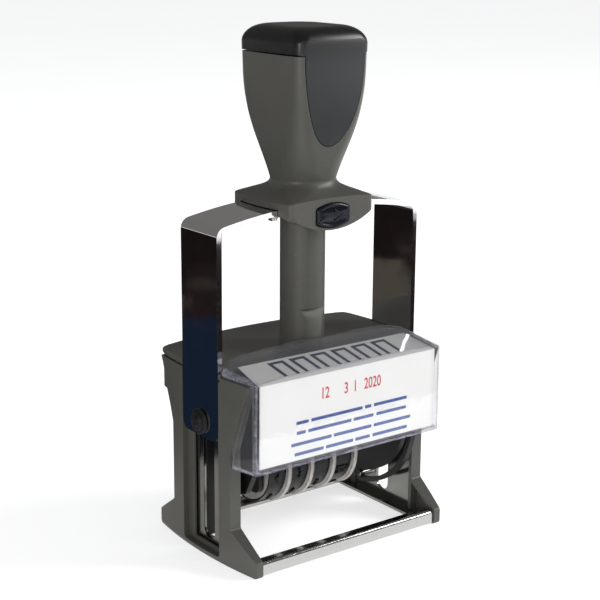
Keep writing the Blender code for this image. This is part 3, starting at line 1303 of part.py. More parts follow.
def date_band(name, rim_x, parent, mat):
    """Rubber band round a drum and the anvil."""
    high = rim_x - WHEEL_RIM / 2 - GAP
    low = high - DRUM_WIDTH + 2 * GAP
    band = piece(name, prism(band_loop(GAP + BAND_WALL), low, high, "X"), parent, mat, SMOOTH_ANGLE)
    inside = prism(band_loop(GAP), low - OVERRUN, high + OVERRUN, "X")
    cut(band, piece(name + "_inside", inside, parent))
    return band


def bracket(name, inner, outer, parent, mat):
    """Side of the band unit, which hangs from the platen's window and holds the axle."""
    foot = -WHEEL_DROP - BRACKET_BELOW
    corners = rectangle(-BRACKET_HALF, BRACKET_HALF, foot, PLATEN_BOTTOM - GAP)
    outline = rounded(corners, [BRACKET_ROUND, BRACKET_ROUND, 0, 0], 4)
    plate = piece(name, prism(outline, inner, outer, "X"), parent, mat)
    tab = box((min(inner, outer), -PLATEN_WINDOW + GAP, PLATEN_BOTTOM - 2 * EDGE),
              (max(inner, outer), PLATEN_WINDOW - GAP, PLATEN_TOP))
    fuse(plate, piece(name + "_tab", tab, parent))
    low, high = min(inner, outer) - OVERRUN, max(inner, outer) + OVERRUN
    hole = turned([(AXLE_RADIUS + GAP, low), (AXLE_RADIUS + GAP, high)], "X", 24, (0, -WHEEL_DROP))
    cut(plate, piece(name + "_axle_hole", hole, parent))
    return plate


def wheel_axle(parent, mat):
    """Steel axle through both brackets, with a head at each end."""
    left, right = band_unit_ends()
    low, high = left - BRACKET_WALL - GAP, right + BRACKET_WALL + GAP
    profile = [(AXLE_HEAD, low - AXLE_HEAD_WIDTH), (AXLE_HEAD, low), (AXLE_RADIUS, low),
               (AXLE_RADIUS, high), (AXLE_HEAD, high), (AXLE_HEAD, high + AXLE_HEAD_WIDTH)]
    return piece("wheel_axle", turned(profile, "X", 24, (0, -WHEEL_DROP)), parent, mat, SMOOTH_ANGLE)


def thumbwheel(name, rim_x, parent, mat):
    """Knurled rim and drum in one, about the axle at the parent's origin."""
    knurl = []
    for tooth in range(KNURL_TEETH):
        for half, radius in ((0, WHEEL_RADIUS), (0.5, WHEEL_RADIUS - KNURL_DEPTH)):
            turn = 2 * math.pi * (tooth + half) / KNURL_TEETH
            knurl.append((radius * math.cos(turn), radius * math.sin(turn)))
    low, high = rim_x - WHEEL_RIM / 2, rim_x + WHEEL_RIM / 2
    wheel = piece(name, prism(knurl, low, high, "X"), parent, mat)
    end = low - DRUM_WIDTH
    drum = turned([(DRUM_RADIUS, end + GAP), (DRUM_RADIUS, low + EDGE)], "X", 40)
    fuse(wheel, piece(name + "_drum", drum, parent))
    bore = turned([(AXLE_RADIUS + GAP, end - OVERRUN), (AXLE_RADIUS + GAP, high + OVERRUN)], "X", 24)
    cut(wheel, piece(name + "_bore", bore, parent))
    return wheel


# Assembly

def build_frame(stamp, mats):
    for side, word in ((-1, "left"), (1, "right")):
        side_panel(f"side_panel_{word}", side, stamp, mats["taupe"])
        side_plate(f"side_plate_{word}", side, stamp, mats["steel"], side > 0)
        plate_screws(word, side, stamp, mats["steel"])
    front_bar(stamp, mats["chrome"])
    rear_bar(stamp, mats["chrome"])
    top_housing(stamp, mats["taupe"])
    guide_tube(stamp, mats["taupe"])


def build_press(press, mats):
    handle_grip(press, mats["taupe"])
    handle_cap(press, mats["black"])
    handle_insert(press, mats["charcoal"])
    yoke(press, mats["chrome"])
    yoke_screws(press, mats["steel"])
    return_spring(press, mats["steel"])
    for side, word in ((-1, "left"), (1, "right")):
        pivot_pin(f"pivot_pin_{word}", side, press, mats["black"])


def build_carriage(carriage, mats):
    cheek("cam_plate", 1, cam_outline(), True, carriage, mats["black"])
    cheek("end_plate", -1, end_plate_outline(), False, carriage, mats["black"])
    for side, word in ((-1, "left"), (1, "right")):
        cheek_screws(word, side, carriage, mats["steel"])
    platen(carriage, mats["black"])
    text_die(carriage, mats["rubber"])
    date_anvil(carriage, mats["black"])
    left, right = band_unit_ends()
    bracket("bracket_left", left - BRACKET_WALL, left, carriage, mats["black"])
    bracket("bracket_right", right, right + BRACKET_WALL, carriage, mats["black"])
    wheel_axle(carriage, mats["steel"])
    for index, x in enumerate(wheel_places()):
        date_band(f"date_band_{index + 1}", x, carriage, mats["rubber"])


def main():
    clear_scene()
    mats = {
        "taupe": finish("taupe_plastic", TAUPE, 0.5),
        "black": finish("black_plastic", BLACK, 0.4),
        "charcoal": finish("charcoal_insert", CHARCOAL, 0.6),
        "chrome": finish("chromed_steel", (0.75, 0.75, 0.76), 0.08, 1.0),
        "steel": finish("zinc_steel", (0.5, 0.5, 0.48), 0.35, 1.0),
        "clear": finish("clear_plastic", (0.9, 0.92, 0.95), 0.05, 0.0, 0.3),
        "card": finish("white_card", (0.85, 0.84, 0.82), 0.6),
        "felt": finish("inked_felt", (0.02, 0.04, 0.2), 0.9),
        "rubber": finish("black_rubber", (0.02, 0.02, 0.02), 0.7),
        "wheel": finish("off_white_plastic", (0.55, 0.52, 0.49), 0.5),
    }
    stamp = empty("stamp", None, (0, AXIS_Y, 0))
    build_frame(stamp, mats)
    tray = empty("tray_slide", stamp)
    ink_pad_tray(tray, mats["black"])
    ink_pad(tray, mats["felt"])
    window = empty("window_slide", stamp)
    window_cover(window, mats["clear"])
    index_card(window, mats["card"])
    press = empty("press_slide", stamp)
    build_press(press, mats)
    button = empty("button_slide", press, (0, -COLLAR_HALF_Y, BUTTON_Z))
    lock_button(button, mats["black"])
    carriage = empty("carriage_pivot", press, (0, 0, PIVOT_Z))
    build_carriage(carriage, mats)
    axle = empty("wheel_pivot", carriage, (0, 0, -WHEEL_DROP))
    for index, x in enumerate(wheel_places()):
        thumbwheel(f"thumbwheel_{index + 1}", x, axle, mats["wheel"])


main()
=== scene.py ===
import math

import bmesh
import bpy
from mathutils import Matrix, Vector


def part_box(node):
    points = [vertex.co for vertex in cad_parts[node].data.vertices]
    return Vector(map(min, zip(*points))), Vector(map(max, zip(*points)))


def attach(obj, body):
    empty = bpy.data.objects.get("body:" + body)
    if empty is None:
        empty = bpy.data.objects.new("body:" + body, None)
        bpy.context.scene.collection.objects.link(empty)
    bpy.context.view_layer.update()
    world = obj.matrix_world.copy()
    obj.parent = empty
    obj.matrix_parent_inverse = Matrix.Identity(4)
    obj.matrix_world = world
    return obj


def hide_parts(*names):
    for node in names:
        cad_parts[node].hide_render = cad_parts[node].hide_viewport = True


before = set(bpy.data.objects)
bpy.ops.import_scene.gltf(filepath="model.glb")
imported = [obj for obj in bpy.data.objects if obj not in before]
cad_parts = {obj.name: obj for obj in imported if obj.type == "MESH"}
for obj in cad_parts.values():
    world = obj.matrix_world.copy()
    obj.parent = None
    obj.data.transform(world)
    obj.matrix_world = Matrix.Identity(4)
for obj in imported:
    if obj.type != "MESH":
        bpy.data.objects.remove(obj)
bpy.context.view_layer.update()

mm = 0.001

# Side panels, left and right: injection-moulded in a warm gray plastic with a fine matt grain.
# Each carries a channel for the yoke's leg. A pocket on the inside holds the steel plate.


class Field:
    """A value that changes over a surface: a node's output that takes part in sums."""

    def __init__(self, paint, socket):
        self.paint = paint
        self.socket = socket

    def math(self, operation, *values):
        return self.paint.node("ShaderNodeMath", {"operation": operation}, dict(enumerate(values)))

    def __add__(self, other):
        return self.math("ADD", self, other)

    def __radd__(self, other):
        return self.math("ADD", other, self)

    def __sub__(self, other):
        return self.math("SUBTRACT", self, other)

    def __rsub__(self, other):
        return self.math("SUBTRACT", other, self)

    def __mul__(self, other):
        return self.math("MULTIPLY", self, other)

    def __rmul__(self, other):
        return self.math("MULTIPLY", other, self)

    def __pow__(self, other):
        return self.math("POWER", self, other)

    def __abs__(self):
        return self.math("ABSOLUTE", self)

    def __or__(self, other):
        """The larger of two shares."""
        return self.math("MAXIMUM", self, other)

    def rise(self, low, high):
        """0 up to the low value, 1 from the high value on, with a soft change between."""
        return self.paint.node("ShaderNodeMapRange", {"interpolation_type": "SMOOTHSTEP"},
                               {"Value": self, "From Min": low, "From Max": high})


class Paint:
    """A material in the making, round one Principled shader."""

    def __init__(self, name):
        self.material = bpy.data.materials.new(name)
        self.material.use_nodes = True
        self.tree = self.material.node_tree
        self.shader = self.tree.nodes["Principled BSDF"]
        self.place = self.node("ShaderNodeTexCoord", {}, {}, "Object")

    def plug(self, socket, value):
        if isinstance(value, Field):
            self.tree.links.new(value.socket, socket)
        elif isinstance(value, tuple) and len(value) == 3 and socket.type == "RGBA":
            socket.default_value = (*value, 1.0)
        else:
            socket.default_value = value

    def node(self, kind, settings, sockets, out=0):
        made = self.tree.nodes.new(kind)
        for key, value in settings.items():
            setattr(made, key, value)
        for key, value in sockets.items():
            self.plug(made.inputs[key], value)
        return Field(self, made.outputs[out])

    def noise(self, size, detail=2.0, stretch=(1, 1, 1)):
        """Clouds about this size in metres, drawn out along the stretched axes."""
        scale = tuple(1 / share for share in stretch)
        place = self.node("ShaderNodeMapping", {}, {"Vector": self.place, "Scale": scale})
        return self.node("ShaderNodeTexNoise", {},
                         {"Vector": place, "Scale": 1 / size, "Detail": detail}, "Fac")

    def mix(self, one, two, share):
        return self.node("ShaderNodeMix", {"data_type": "RGBA"}, {0: share, 6: one, 7: two}, 2)

    def along(self, axis):
        return self.node("ShaderNodeSeparateXYZ", {}, {"Vector": self.place}, axis)

    def bump(self, height, depth):
        return self.node("ShaderNodeBump", {}, {"Height": height, "Distance": depth}, "Normal")

    def give(self, sockets):
        for key, value in sockets.items():
            self.plug(self.shader.inputs[key], value)
        return self.material


def tint(colour, share):
    return tuple(min(1.0, part * share) for part in colour)


def moulded(name, colour, roughness, grain=0.25 * mm, depth=0.010 * mm, dusty=0.3, shine=0.5):
    """Moulded plastic: a fine grain, faint clouds of tone and gloss, and a few specks of dust."""
    patchy = 0.06
    paint = Paint(name)
    fine = paint.noise(grain, 3.0)
    cloud = paint.noise(14 * mm, 3.0)
    rubbed = paint.noise(45 * mm, 2.0)
    dust = paint.noise(0.55 * mm, 0.0).rise(0.80, 0.84)
    tone = paint.mix(tint(colour, 1 - patchy), tint(colour, 1 + patchy), cloud)
    tone = paint.mix(tone, (0.35, 0.35, 0.34), dust * dusty)
    gloss = roughness + (cloud - 0.5) * 0.08 + (rubbed - 0.5) * 0.08 + dust * 0.2
    return paint.give({"Base Color": tone, "Roughness": gloss, "Specular IOR Level": shine,
                       "Normal": paint.bump(fine, depth)})


def soften(thing, edge, angle=30, steps=2):
    """Joins the facets of a solid, rounds its edges and evens out its normals."""
    weld = thing.modifiers.new("joined", "WELD")
    weld.merge_threshold = 0.002 * mm
    flat = thing.modifiers.new("flat_faces", "DECIMATE")
    flat.decimate_type = "DISSOLVE"
    flat.angle_limit = math.radians(0.5)
    if edge:
        bevel = thing.modifiers.new("edges", "BEVEL")
        bevel.width = edge
        bevel.segments = steps
        bevel.limit_method = "ANGLE"
        bevel.angle_limit = math.radians(angle)
        bevel.use_clamp_overlap = True
    evened = thing.modifiers.new("normals", "WEIGHTED_NORMAL")
    evened.keep_sharp = False
    evened.weight = 90


def dress(node, material, edge, angle=30):
    """Gives a CAD node its finish and takes the hardness off its edges."""
    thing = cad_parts[node]
    thing.data.materials.clear()
    thing.data.materials.append(material)
    soften(thing, edge, angle)


gray = (0.066, 0.065, 0.056)
gray_plastic = moulded("warm_gray_plastic", gray, 0.44)
for hand in ("left", "right"):
    dress(f"side_panel_{hand}", gray_plastic, 0.35 * mm)

# Steel plates in the panels' pockets, stamped with the slot that guides the pin, bright zinc.
# Screws from the inside hold each plate, and a flange along its foot ties in the two bars.


def rolled(name, colour, roughness, stretch):
    """Rolled metal with fine lines along one axis, faint stains and small marks."""
    paint = Paint(name)
    lines = paint.noise(0.14 * mm, 3.0, stretch)
    stain = paint.noise(9 * mm, 4.0)
    tone = paint.mix(tint(colour, 0.84), tint(colour, 1.06), stain)
    tone = paint.mix(tone, tint(colour, 0.6), lines.rise(0.55, 0.75) * 0.3)
    gloss = roughness + (lines - 0.5) * 0.14 + (stain - 0.5) * 0.08
    return paint.give({"Base Color": tone, "Metallic": 1.0, "Roughness": gloss,
                       "Normal": paint.bump(lines, 0.002 * mm)})


bright_zinc = rolled("bright_zinc", (0.24, 0.24, 0.225), 0.15, (1, 1, 16))
screw_steel = rolled("screw_steel", (0.50, 0.49, 0.47), 0.26, (1, 1, 1))
for hand in ("left", "right"):
    dress(f"side_plate_{hand}", bright_zinc, 0.12 * mm)


def settle(thing, body, slot, *nodes):
    """Lets a finished piece ride on its body, in the place of CAD nodes."""
    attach(thing, body)
    if nodes:
        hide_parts(*nodes)


def add(name, data):
    thing = bpy.data.objects.new(name, data)
    bpy.context.scene.collection.objects.link(thing)
    return thing


def make(name, mesh, *materials, smooth=True):
    """A bmesh as an object with outward faces."""
    bmesh.ops.recalc_face_normals(mesh, faces=mesh.faces)
    data = bpy.data.meshes.new(name)
    mesh.to_mesh(data)
    mesh.free()
    for material in materials:
        data.materials.append(material)
    if smooth:
        data.shade_smooth()
    return add(name, data)


def carve(thing, mesh, operation="DIFFERENCE", solver="MANIFOLD"):
    """Cuts, joins or trims a piece with a closed mesh."""
    tool = make(thing.name + "_tool", mesh, smooth=False)
    step = thing.modifiers.new("carved", "BOOLEAN")
    step.operation = operation
    step.object = tool
    step.solver = solver
    seen = thing.evaluated_get(bpy.context.evaluated_depsgraph_get())
    data = bpy.data.meshes.new_from_object(seen)
    thing.modifiers.clear()
    thing.data = data
    bpy.data.objects.remove(tool)


def along(axis, u, v, t):
    return Vector({"X": (t, u, v), "Y": (u, t, v), "Z": (u, v, t)}[axis])


def skin(rings, closed=False):
    """Joins rings of points with faces, and caps the two ends unless the rings close."""
    mesh = bmesh.new()
    rows = [[mesh.verts.new(point) for point in ring] for ring in rings]
    pairs = list(zip(rows, rows[1:])) + ([(rows[-1], rows[0])] if closed else [])
    for lower, upper in pairs:
        for index in range(len(lower)):
            after = (index + 1) % len(lower)
            mesh.faces.new((lower[index], lower[after], upper[after], upper[index]))
    if not closed:
        caps = [mesh.faces.new(rows[0]), mesh.faces.new(rows[-1])]
        bmesh.ops.triangulate(mesh, faces=caps)
    return mesh


def prism(outline, low, high, axis):
    return skin([[along(axis, u, v, t) for u, v in outline] for t in (low, high)])


def block(low, high):
    return prism([(low[0], low[1]), (high[0], low[1]), (high[0], high[1]), (low[0], high[1])],
                 low[2], high[2], "Z")


def cross_head(node, body, axis, end):
    """A CAD screw with a cross recess in its head, which is at the given end of its axis."""
    mesh = bmesh.new()
    mesh.from_mesh(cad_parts[node].data)
    screw = make(node + "_cross", mesh, screw_steel)
    low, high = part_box(node)
    middle = (low + high) / 2
    face = (low, high)[end][axis]
    arm, half, deep = 1.3 * mm, 0.26 * mm, 0.7 * mm
    for turn in (0, 1):
        corner = [half, half, half]
        corner[(axis + 1 + turn) % 3] = arm
        corner[axis] = deep
        centre = middle.copy()
        centre[axis] = face
        carve(screw, block(centre - Vector(corner), centre + Vector(corner)), solver="EXACT")
    soften(screw, 0.12 * mm, 35)
    settle(screw, body, "steel", node)


for hand, end in (("left", 1), ("right", 0)):
    for place in ("low", "high"):
        cross_head(f"plate_screw_{hand}_{place}", "base", 0, end)

# Painted shade behind the left slot: two black strips, one on each side of the pin's collar,
# standing behind the steel plate so that the slot looks dark from outside.
black_plastic = moulded("black_plastic", (0.009, 0.009, 0.010), 0.45, 0.3 * mm, 0.006 * mm,
                        dusty=0.12, shine=0.3)
axis_y = (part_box("guide_tube")[0].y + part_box("guide_tube")[1].y) / 2
liner_x, liner_y, liner_z = (-43.6 * mm, -39.8 * mm), (3.55 * mm, 4.8 * mm), (4 * mm, 59 * mm)
shade_liners = bmesh.new()
for side in (-1, 1):
    near, far = sorted(side * y for y in liner_y)
    strip = block((liner_x[0], near + axis_y, liner_z[0]), (liner_x[1], far + axis_y, liner_z[1]))
    held = bpy.data.meshes.new("strip")
    strip.to_mesh(held)
    strip.free()
    shade_liners.from_mesh(held)
    bpy.data.meshes.remove(held)
shade_liner = make("slide_rails_left", shade_liners, black_plastic)
soften(shade_liner, 0.2 * mm)
settle(shade_liner, "base", "black")

# Front and rear bars: rolled steel with a round upper edge, chrome plated.
# Their ends sit between the side panels' feet.


def plated(name, colour=(0.78, 0.78, 0.80), roughness=0.05):
    """Chrome plate: a mirror with soft waves, smudges, pits and fine scratches."""
    paint = Paint(name)
    wave = paint.noise(16 * mm, 1.0)
    smudge = paint.noise(6 * mm, 5.0).rise(0.45, 0.75)
    pits = paint.noise(0.5 * mm, 1.0).rise(0.74, 0.79)
    scratch = paint.noise(0.35 * mm, 2.0, (1, 1, 70)).rise(0.62, 0.74)
    marks = pits * 0.6 + scratch * 0.22
    tone = paint.mix(colour, tint(colour, 0.55), marks)
    gloss = roughness + smudge * 0.05 + marks * 0.2
    return paint.give({"Base Color": tone, "Metallic": 1.0, "Roughness": gloss,
                       "Normal": paint.bump(wave * 12 - pits, 0.004 * mm)})


chrome = plated("chrome_plate")
bar_plate = plated("bar_plate", (0.52, 0.52, 0.51), 0.10)
dress("front_bar", bar_plate, 0.2 * mm)
dress("rear_bar", bar_plate, 0.2 * mm)

# Housing over the pad: deck, bowed back wall, card apron and the pad's runners in one moulding
# of the same gray plastic, held between the side panels.
dress("top_housing", gray_plastic, 0.2 * mm)

# Guide tube: moulded in the same plastic, with its foot in the deck. The grip slides on it, and
# the lock's tongue drops into its two notches.
dress("guide_tube", gray_plastic, 0.15 * mm, 35)

# Ink pad and its tray: a black plastic tray that slides out at the back for a new pad,
# and a block of felt that is soaked with blue ink.
dress("ink_pad_tray", black_plastic, 0.2 * mm)


def felt(name):
    paint = Paint(name)
    fibre = paint.noise(0.18 * mm, 5.0)
    pool = paint.noise(5 * mm, 3.0)
    tone = paint.mix((0.004, 0.008, 0.040), (0.018, 0.032, 0.140), pool * 0.6 + fibre * 0.4)
    return paint.give({"Base Color": tone, "Roughness": 0.95 - pool.rise(0.4, 0.7) * 0.35,
                       "Normal": paint.bump(fibre, 0.08 * mm)})


def arc(centre, radius, start, end, steps):
    """Points on an arc, angles in degrees."""
    points = []
    for step in range(steps + 1):
        turn = math.radians(start + (end - start) * step / steps)
        points.append((centre[0] + radius * math.cos(turn), centre[1] + radius * math.sin(turn)))
    return points


def pad_ring(inset, z):
    """The pad's outline, drawn in by the inset."""
    low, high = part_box("ink_pad")
    corner, ring = 1.2 * mm + inset * 0.5, []
    corners = ((high.x, high.y), (low.x, high.y), (low.x, low.y), (high.x, low.y))
    for index, (x, y) in enumerate(corners):
        middle = (x + (corner + inset) * (-1 if x == high.x else 1),
                  y + (corner + inset) * (-1 if y == high.y else 1))
        ring += arc(middle, corner, 90 * index, 90 * index + 90, 8)
    return [Vector((x, y, z)) for x, y in ring]


pad_low, pad_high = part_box("ink_pad")
pad_crown, pad_edge = 0.45 * mm, 3.2 * mm
rings = [pad_ring(0.15 * mm, pad_high.z), pad_ring(0, pad_high.z - 0.3 * mm)]
for step in range(13):
    inset = (12 * (step / 12) ** 2) * mm
    rings.append(pad_ring(inset, pad_low.z + pad_crown * max(0, 1 - inset / pad_edge) ** 2.2))
pad = make("felt_pad", skin(rings), felt("inked_felt"))
settle(pad, "tray", "felt", "ink_pad")

# Clear window: a polished clear moulding that snaps over the card at the front of the housing.
# Its walls vanish face on. Painted highlight lines run along their edges, and the walls away from
# the front carry painted gray shade. The rear lip is cut in low steps.
panel_half = 49.2 * mm
bow_radius = 198 * mm
cover_front = 32.7 * mm
cover_rear = 10.04 * mm
cover_low = 40.8 * mm
cover_wall = 0.9 * mm
cover_inset = 1.05 * mm
cover_lip = 4.0 * mm
deck_z = 76.4 * mm
deck_front = 13.2 * mm
brow_z = 74.9 * mm
brow_front = 29.7 * mm
leg_front = 19.3 * mm
waist_z = 47.7 * mm
play = 0.3 * mm
spare = 2 * mm           # how far a cutting solid reaches past what it cuts


def bow_x(y, inset=0.0):
    """Half width of the stamp at a depth: the panels' outer faces are arcs in plan."""
    return panel_half - inset - (bow_radius - math.sqrt(bow_radius ** 2 - y ** 2))


def arched(x, half, end_z, rise):
    return end_z + rise * (1 - min(abs(x) / half, 1) ** 6)


# steps in the rear lip: from, to and depth, in mm
lip_cuts = [(-5.5, 5.5, 1.0), (-34.0, -27.0, 0.6), (-27.0, -16.0, 0.35),
            (5.5, 9.0, 0.8), (9.0, 15.5, 0.4)]


def cover_top(x, y):
    """The cover's sloping top: a crease over the card's fold, rising to the lip at the rear.
    lip_cut cuts the lip's steps.
    """
    half = bow_x(cover_rear, cover_inset)
    crease = arched(x, half, brow_z + 1.1 * mm, 1.6 * mm)
    lip = arched(x, half, deck_z + 0.4 * mm, 5.3 * mm)
    share = (y + cover_front) / (cover_front - cover_rear)
    return crease + (lip - crease) * share


def lip_cut(x):
    depths = [depth * mm for low, high, depth in lip_cuts if low * mm <= x < high * mm]
    return max(depths, default=0)


def cover_stations(half):
    """Shares of the half width, closer together towards the sides and double at the lip's steps."""
    places = [half * math.sin(math.pi / 2 * (2 * step / 48 - 1)) for step in range(49)]
    edges = {value * mm for cut in lip_cuts for value in cut[:2]}
    places = [place for place in places if min(abs(place - edge) for edge in edges) > 0.4 * mm]
    places += [edge + side * 0.12 * mm for edge in edges for side in (-1, 1)]
    return sorted(place / half for place in places)


def cover_rings(outline, inset):
    """Rings across the stamp. Every point lies at its share of the bowed width."""
    rings = []
    for share in cover_stations(bow_x(cover_rear, inset)):
        rings.append([Vector((share * bow_x(y, inset), y + axis_y, z))
                      for y, z in outline(share * bow_x(cover_rear, inset))])
    return rings


cover_corner = 1.5 * mm


def cover_outside(x):
    slant = (brow_front - leg_front) / (brow_z - waist_z)
    step_y = -cover_rear - 1.1 * mm
    crease = cover_top(x, -cover_front)
    wavy = 1 + 0.3 * math.sin(abs(x) / (0.85 * mm)) + 0.2 * math.sin(abs(x) / (2.3 * mm))
    inward = 0.55 * mm * wavy
    past = min(max(0.0, abs(x) - bow_x(cover_rear, cover_inset) + cover_corner), cover_corner)
    front = -cover_front + cover_corner - math.sqrt(cover_corner ** 2 - past ** 2)
    return [(front, cover_low), (front, crease - inward),
            (front + 0.15 * mm, crease - 0.12 * mm),
            (front + inward, cover_top(x, -cover_front + inward)),
            (step_y, cover_top(x, step_y)), (step_y + 0.1 * mm, cover_top(x, step_y) - lip_cut(x)),
            (-cover_rear, cover_top(x, -cover_rear) - lip_cut(x)), (-cover_rear, deck_z + play),
            (-deck_front - 2 * play, deck_z + play), (-deck_front - 2 * play, brow_z + play),
            (-brow_front - play - slant * play, brow_z + play), (-leg_front - play, waist_z),
            (-leg_front - play, cover_low - 0.5 * mm)]


def cover_inside(x):
    front, rear, below = -cover_front + cover_wall, -cover_rear - cover_wall, cover_low - 3 * mm
    return [(front, cover_low + cover_wall), (front, cover_top(x, front) - cover_wall),
            (rear, cover_top(x, rear) - cover_wall), (rear, below),
            (-cover_front + cover_lip, below), (-cover_front + cover_lip, cover_low + cover_wall)]


def clear_plastic(name):
    """Clear plastic with painted light: a gloss that grows at a slant, painted highlight lines
    along its edges, painted gray shade on the walls away from the front, and faint scratches.
    """
    paint = Paint(name)
    width, depth, height = abs(paint.along("X")), paint.along("Y"), paint.along("Z")

    def near(gap, limit):
        return 1 - gap.rise(limit - 0.12 * mm, limit + 0.12 * mm)

    share = width * (1 / bow_x(cover_rear, cover_inset))
    crease = brow_z + 2.7 * mm - share ** 6.0 * (1.6 * mm)
    deep = depth - axis_y
    side_gap = bow_x(0, cover_inset) - deep * deep * (0.5 / bow_radius) - width
    front_gap = deep + cover_front
    top = 1 - near(height - crease, -0.7 * mm)
    at_front = near(front_gap, 0.9 * mm)
    corner = near(front_gap + side_gap, 1.9 * mm)
    sides = top * near(side_gap, 2.4 * mm)
    # painted highlight: lines along the crease, the bottom edge, the front corners and the upper
    # sides
    strip = top * at_front | near(height - cover_low, 0.9 * mm) | corner | sides
    # painted shade: every wall but the front face
    shaded_walls = 1 - near(front_gap, 1.3 * mm)
    facing = paint.node("ShaderNodeLayerWeight", {}, {"Blend": 0.5}, "Facing")
    mirror = 0.04 + facing ** 5.0 * 0.96
    scratch = paint.noise(0.25 * mm, 2.0, (30, 9, 1)).rise(0.66, 0.74)
    cloud = paint.noise(7 * mm, 4.0)
    highlight_streak = paint.noise(1.2 * mm, 2.0, (4, 1, 1))
    # more cover from the painted shade and in the painted highlight lines; the haze is cloud and
    # scratches, heavier in those lines
    cover = shaded_walls * 0.10 + strip * (0.20 + highlight_streak.rise(0.4, 0.65) * 0.12)
    haze = (cloud * 0.4 + scratch) * (0.015 + strip * 0.1)
    # gray painted shade on the walls away from the front, lighter painted highlight streaks in the
    # edge lines
    body_tone_with_shade = paint.mix((0.90, 0.91, 0.95), (0.26, 0.26, 0.28), shaded_walls)
    edge_highlight_tone = paint.mix((0.34, 0.34, 0.42), (0.60, 0.60, 0.70), highlight_streak.rise(0.35, 0.7))
    tone = paint.mix(body_tone_with_shade, edge_highlight_tone, strip)
    return paint.give({"Base Color": tone, "Metallic": 0.9 - shaded_walls * 0.5,
                       "Roughness": 0.03 + scratch * 0.2 + strip * 0.05,
                       "Alpha": mirror + cover + haze,
                       "Normal": paint.bump(cloud + highlight_streak * strip * 0.1, 0.08 * mm)})


window = make("clear_window", skin(cover_rings(cover_outside, cover_inset)),
              clear_plastic("clear_plastic"))
carve(window, skin(cover_rings(cover_inside, cover_inset + cover_wall)))
notch_x, notch_front, notch_top = (46 * mm, 52 * mm), 12.9 * mm, 90 * mm
for side in (-1, 1):
    near, far = sorted(side * x for x in notch_x)
    carve(window, block((near, axis_y - notch_front, cover_low - spare), (far, axis_y, notch_top)))
soften(window, 0.25 * mm, 32, 3)
settle(window, "window", "clear", "window_cover")

# Index card: white card, printed, folded back at the top, held by the window against the apron.
# Plain ruled bars stand where the words of the print would be. The date is in plain numerals.


def card_stock(name):
    paint = Paint(name)
    fibre = paint.noise(0.3 * mm, 4.0)
    cloud = paint.noise(12 * mm, 3.0)
    tone = paint.mix((0.78, 0.775, 0.765), (0.85, 0.845, 0.835), cloud * 0.7 + fibre * 0.3)
    return paint.give({"Base Color": tone, "Roughness": 0.6,
                       "Normal": paint.bump(fibre, 0.01 * mm)})


dress("index_card", card_stock("white_card"), 0.1 * mm)


def ink(name, colour, thin):
    """Stamped ink: uneven cover, with small voids where the card's fibres show."""
    paint = Paint(name)
    pale = paint.mix(colour, (0.80, 0.80, 0.79), 0.5)
    void = paint.noise(0.35 * mm, 4.0).rise(0.50, 0.72) * thin
    return paint.give({"Base Color": paint.mix(colour, pale, void), "Roughness": 0.55,
                       "Normal": paint.bump(void, 0.01 * mm)})


red_ink = ink("red_ink", (0.58, 0.040, 0.050), 0.6)
blue_ink = ink("blue_ink", (0.026, 0.075, 0.30), 0.5)
navy_ink = ink("navy_ink", (0.006, 0.012, 0.085), 0.25)
card_low, card_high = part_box("index_card")
print_y = card_low.y - 0.02 * mm


def printed(name, mesh, material):
    thing = make(name, mesh, material, smooth=False)
    settle(thing, "window", "card")


def front_place(x, z):
    return Vector((x, print_y, z))


fold = Vector((0, card_low.y, brow_z + 0.03 * mm))
slope = Vector((0, card_high.y - card_low.y, card_high.z - brow_z)).normalized()


def fold_place(x, z):
    """A place on the part of the card that is folded back: z runs up the slope from the fold."""
    return fold + Vector((x, 0, 0)) + slope * z


def sheet_of(shapes, place):
    """Flat printed shapes: each is an outline, or an outline with an inner one to leave open."""
    mesh = bmesh.new()
    for outer, inner in shapes:
        ring = [mesh.verts.new(place(*point)) for point in outer]
        if not inner:
            mesh.faces.new(ring)
            continue
        hole = [mesh.verts.new(place(*point)) for point in inner]
        for index in range(len(ring)):
            after = (index + 1) % len(ring)
            mesh.faces.new((ring[index], ring[after], hole[after], hole[index]))
    return mesh


def bar(x0, x1, z0, z1):
    """Outline of a bar with round ends."""
    points, round_off = [], 0.25 * mm
    for cx, cz, start in ((x1, z1, 0), (x0, z1, 90), (x0, z0, 180), (x1, z0, 270)):
        sx, sz = (1 if cx == x1 else -1), (1 if cz == z1 else -1)
        for turn in (0, 30, 60, 90):
            angle = math.radians(start + turn)
            points.append((cx - sx * round_off + round_off * math.cos(angle),
                           cz - sz * round_off + round_off * math.sin(angle)))
    return points


# base of each line, then the ends of its bars, in mm
ruled_lines = ((56.2, ((-26.1, -20.2), (-19.0, 6.1), (7.3, 10.5), (11.8, 28.8))),
               (52.2, ((-25.9, -21.6), (-20.4, 0.6), (1.7, 11.7), (13.2, 28.5))),
               (47.8, ((-28.4, -9.1), (-8.0, 10.7), (11.9, 30.9))),
               (43.8, ((-26.8, -12.9), (-11.8, 1.6), (2.7, 10.0), (11.4, 29.2))))
bar_low, bar_high = 0.55, 1.85
bars = []
for base, words in ruled_lines:
    for low, high in words:
        bars.append((bar(low * mm, high * mm, (base + bar_low) * mm, (base + bar_high) * mm), None))
printed("ruled_lines", sheet_of(bars, front_place), blue_ink)

frame_low, frame_high, frame_wide, stroke = 0.5 * mm, 15.5 * mm, 7.6 * mm, 1.7 * mm
frame_start, frame_pitch = -29.0, 10.1
boxes = []
for step in range(6):
    low = (frame_start + frame_pitch * step) * mm
    high = low + frame_wide
    boxes.append((bar(low, high, frame_low, frame_high),
                  bar(low + stroke, high - stroke, frame_low + stroke, frame_high - stroke)))
printed("title_frames", sheet_of(boxes, fold_place), navy_ink)


